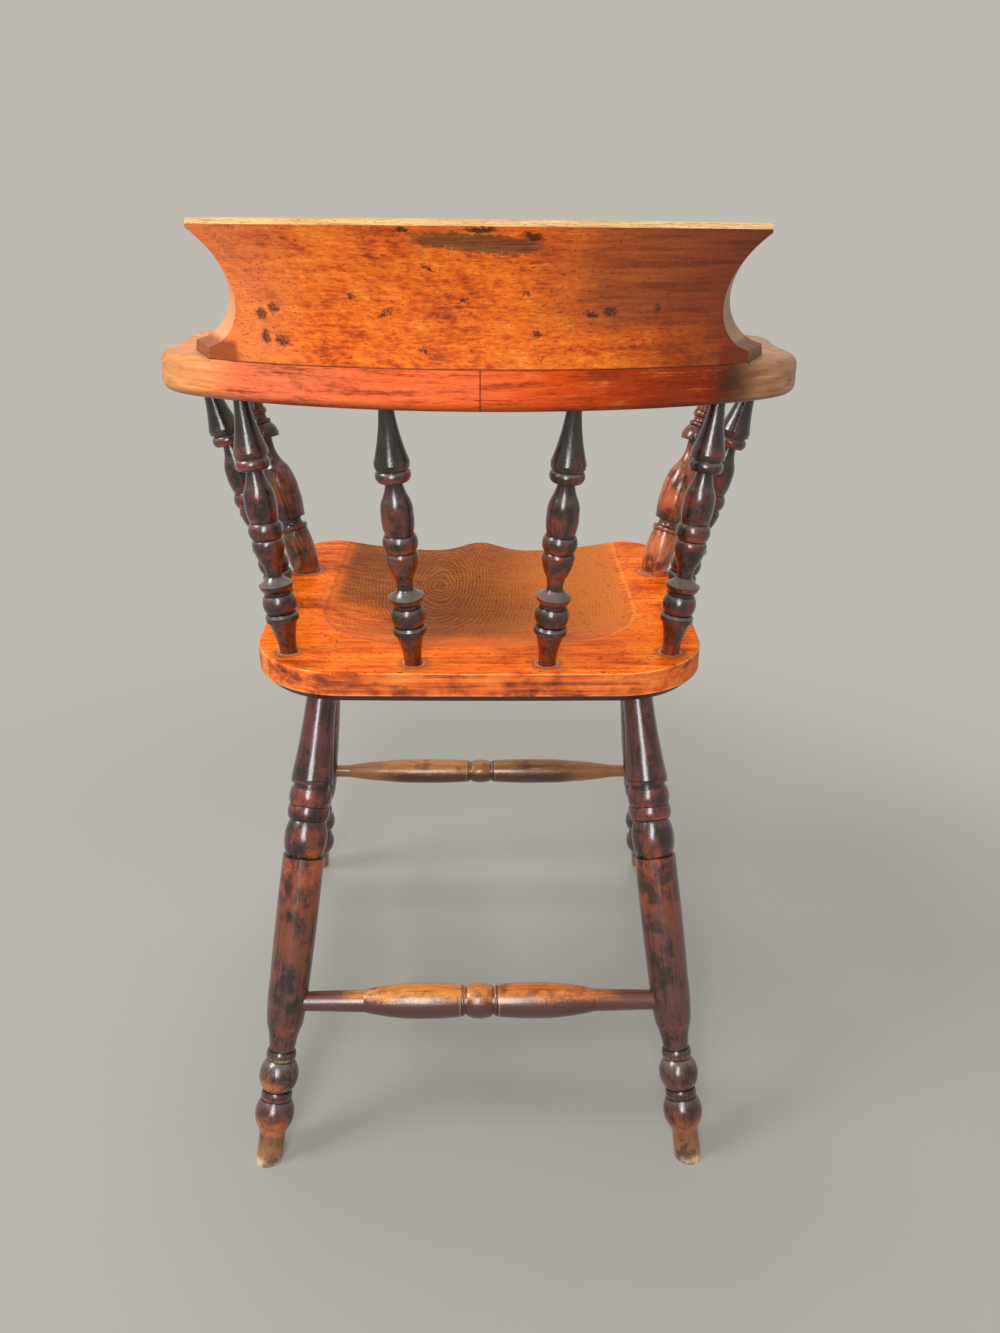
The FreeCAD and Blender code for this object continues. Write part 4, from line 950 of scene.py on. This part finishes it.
PEG_GRAIN = (420.0, 420.0, 60.0)
PEG_SHADES = [(0.3, colour(166, 120, 72)), (0.7, colour(214, 172, 118))]


def peg_wood():
    look = Look("peg_wood")
    grain = look.streaks(look.place, PEG_GRAIN, detail=4.0, roughness=0.6)
    shade = look.ramp(grain, PEG_SHADES)
    return look.finish(
        shade, grain, rough=0.6, relief_height=0.0003, sheen_level=0.5, coat=0.0, coat_roughness=0.3
    )


# Each piece gets its wood

def dress(name, material):
    node = nodes[name]
    node.data.materials.clear()
    node.data.materials.append(material)


crest_look = crest_wood()
arm_look = arm_wood()
seat_look = seat_wood()
peg_look = peg_wood()
for name, node in nodes.items():
    left = name.endswith("left")
    if name == "crest_rail":
        dress(name, crest_look)
    elif name in ("arm_left", "arm_right"):
        dress(name, arm_look)
    elif name == "seat":
        dress(name, seat_look)
    elif name == "stretcher_rear":
        dress(name, rail_wood(node, REAR_RAIL))
    elif name.startswith("stretcher"):
        dress(name, rail_wood(node, OTHER_RAIL))
    elif name.endswith("dowels"):
        dress(name, peg_look)
    elif name.startswith("leg"):
        dress(name, turned_wood(node, LEFT_LEG if left else RIGHT_LEG))
    elif name.startswith("arm_post"):
        dress(name, turned_wood(node, LEFT_POST if left else LIT_RIGHT_POST))
    else:
        dress(name, turned_wood(node, SPINDLE))


# Camera

def make_camera():
    level = math.cos(CAMERA_PITCH)
    ahead = Vector((math.sin(CAMERA_YAW) * level, -math.cos(CAMERA_YAW) * level, -math.sin(CAMERA_PITCH)))
    right = ahead.cross(Vector((0, 0, 1))).normalized()
    up = right.cross(ahead)
    rolled_right = math.cos(CAMERA_ROLL) * right + math.sin(CAMERA_ROLL) * up
    rolled_up = math.cos(CAMERA_ROLL) * up - math.sin(CAMERA_ROLL) * right
    data = bpy.data.cameras.new("camera")
    data.sensor_width = SENSOR
    data.lens = FOCAL_PIXELS / PICTURE_HEIGHT * SENSOR
    data.shift_x = (PICTURE_WIDTH / 2 - CENTRE_PIXEL[0]) / PICTURE_HEIGHT
    data.shift_y = (CENTRE_PIXEL[1] - PICTURE_HEIGHT / 2) / PICTURE_HEIGHT
    data.clip_start = NEAREST_SEEN
    camera = bpy.data.objects.new("camera", data)
    axes = Matrix((rolled_right, rolled_up, -ahead)).transposed()
    camera.matrix_world = Matrix.Translation(CAMERA_PLACE) @ axes.to_4x4()
    bpy.context.scene.collection.objects.link(camera)
    bpy.context.scene.camera = camera


make_camera()


# Floor, backdrop and light

FLOOR_SIZE = 60
FLOOR_FADE = (0.55, 1.25)
FLOOR_LIT_SHARE = 0.5
FLOOR_LIT = tuple(FLOOR_LIT_SHARE * part for part in BACKGROUND[:3]) + (1,)
FLOOR_GLOW = 0.28
WORLD_LIGHT = 0.3
LAMP_TARGET = (0, 0, 0.5)


def make_floor():
    """A pale floor that takes the chair's shadow and fades into the background round it."""
    mesh = bpy.data.meshes.new("floor")
    half = FLOOR_SIZE / 2
    corners = [(-half, -half, 0), (half, -half, 0), (half, half, 0), (-half, half, 0)]
    mesh.from_pydata(corners, [], [(0, 1, 2, 3)])
    floor = bpy.data.objects.new("floor", mesh)
    bpy.context.scene.collection.objects.link(floor)
    look = Look("floor_paint")
    mesh.materials.append(look.material)
    look.tree.nodes.remove(look.surface)
    matt = look.add("ShaderNodeBsdfDiffuse", BACKGROUND)
    lit = look.add("ShaderNodeBsdfDiffuse", FLOOR_LIT)
    glow = look.add("ShaderNodeEmission", BACKGROUND, FLOOR_GLOW)
    near = look.add("ShaderNodeAddShader", lit.outputs[0], glow.outputs[0])
    far = look.add("ShaderNodeEmission", BACKGROUND, 1.0)
    away = look.step(look.vector("LENGTH", look.place), *FLOOR_FADE)
    seen = look.add("ShaderNodeMixShader", away, near.outputs[0], far.outputs[0])
    ray = look.add("ShaderNodeLightPath").outputs
    direct = look.larger(ray["Is Camera Ray"], ray["Is Glossy Ray"], ray["Is Transmission Ray"])
    either = look.add("ShaderNodeMixShader", direct, matt.outputs[0], seen.outputs[0])
    output = look.tree.nodes["Material Output"]
    look.feed(output.inputs["Surface"], either.outputs[0])


def make_world():
    """White light from all round, with the background's colour where it is seen or mirrored."""
    world = bpy.data.worlds.new("studio")
    world.use_nodes = True
    tree = world.node_tree
    tree.nodes.clear()
    ray = tree.nodes.new("ShaderNodeLightPath")
    shown = tree.nodes.new("ShaderNodeBackground")
    shown.inputs["Color"].default_value = BACKGROUND
    light = tree.nodes.new("ShaderNodeBackground")
    light.inputs["Color"].default_value = (1, 1, 1, 1)
    light.inputs["Strength"].default_value = WORLD_LIGHT
    mix = tree.nodes.new("ShaderNodeMixShader")
    output = tree.nodes.new("ShaderNodeOutputWorld")
    seen = ray.outputs["Is Camera Ray"]
    for other in ("Is Glossy Ray", "Is Transmission Ray"):
        either = tree.nodes.new("ShaderNodeMath")
        either.operation = "MAXIMUM"
        tree.links.new(seen, either.inputs[0])
        tree.links.new(ray.outputs[other], either.inputs[1])
        seen = either.outputs[0]
    tree.links.new(seen, mix.inputs[0])
    tree.links.new(light.outputs[0], mix.inputs[1])
    tree.links.new(shown.outputs[0], mix.inputs[2])
    tree.links.new(mix.outputs[0], output.inputs["Surface"])
    bpy.context.scene.world = world


def softbox(name, place, width, height, watts, mirrored=True):
    """A soft lamp. One that isn't mirrored lights the chair without a shine of its own."""
    data = bpy.data.lights.new(name, "AREA")
    data.shape = "RECTANGLE"
    data.size = width
    data.size_y = height
    data.energy = watts
    lamp = bpy.data.objects.new(name, data)
    lamp.location = place
    lamp.rotation_euler = (Vector(LAMP_TARGET) - Vector(place)).to_track_quat("-Z", "Y").to_euler()
    lamp.visible_glossy = mirrored
    lamp.visible_camera = False
    bpy.context.scene.collection.objects.link(lamp)


make_floor()
make_world()
softbox("key", place=(1.85, 0.6, 2.25), width=0.9, height=0.9, watts=38)
softbox("back", place=(0.4, 2.6, 1.75), width=0.8, height=1.9, watts=64)
softbox("front", place=(0.1, -0.8, 2.7), width=1.2, height=1.2, watts=31, mirrored=False)

view_settings = bpy.context.scene.view_settings
view_settings.view_transform = "Standard"
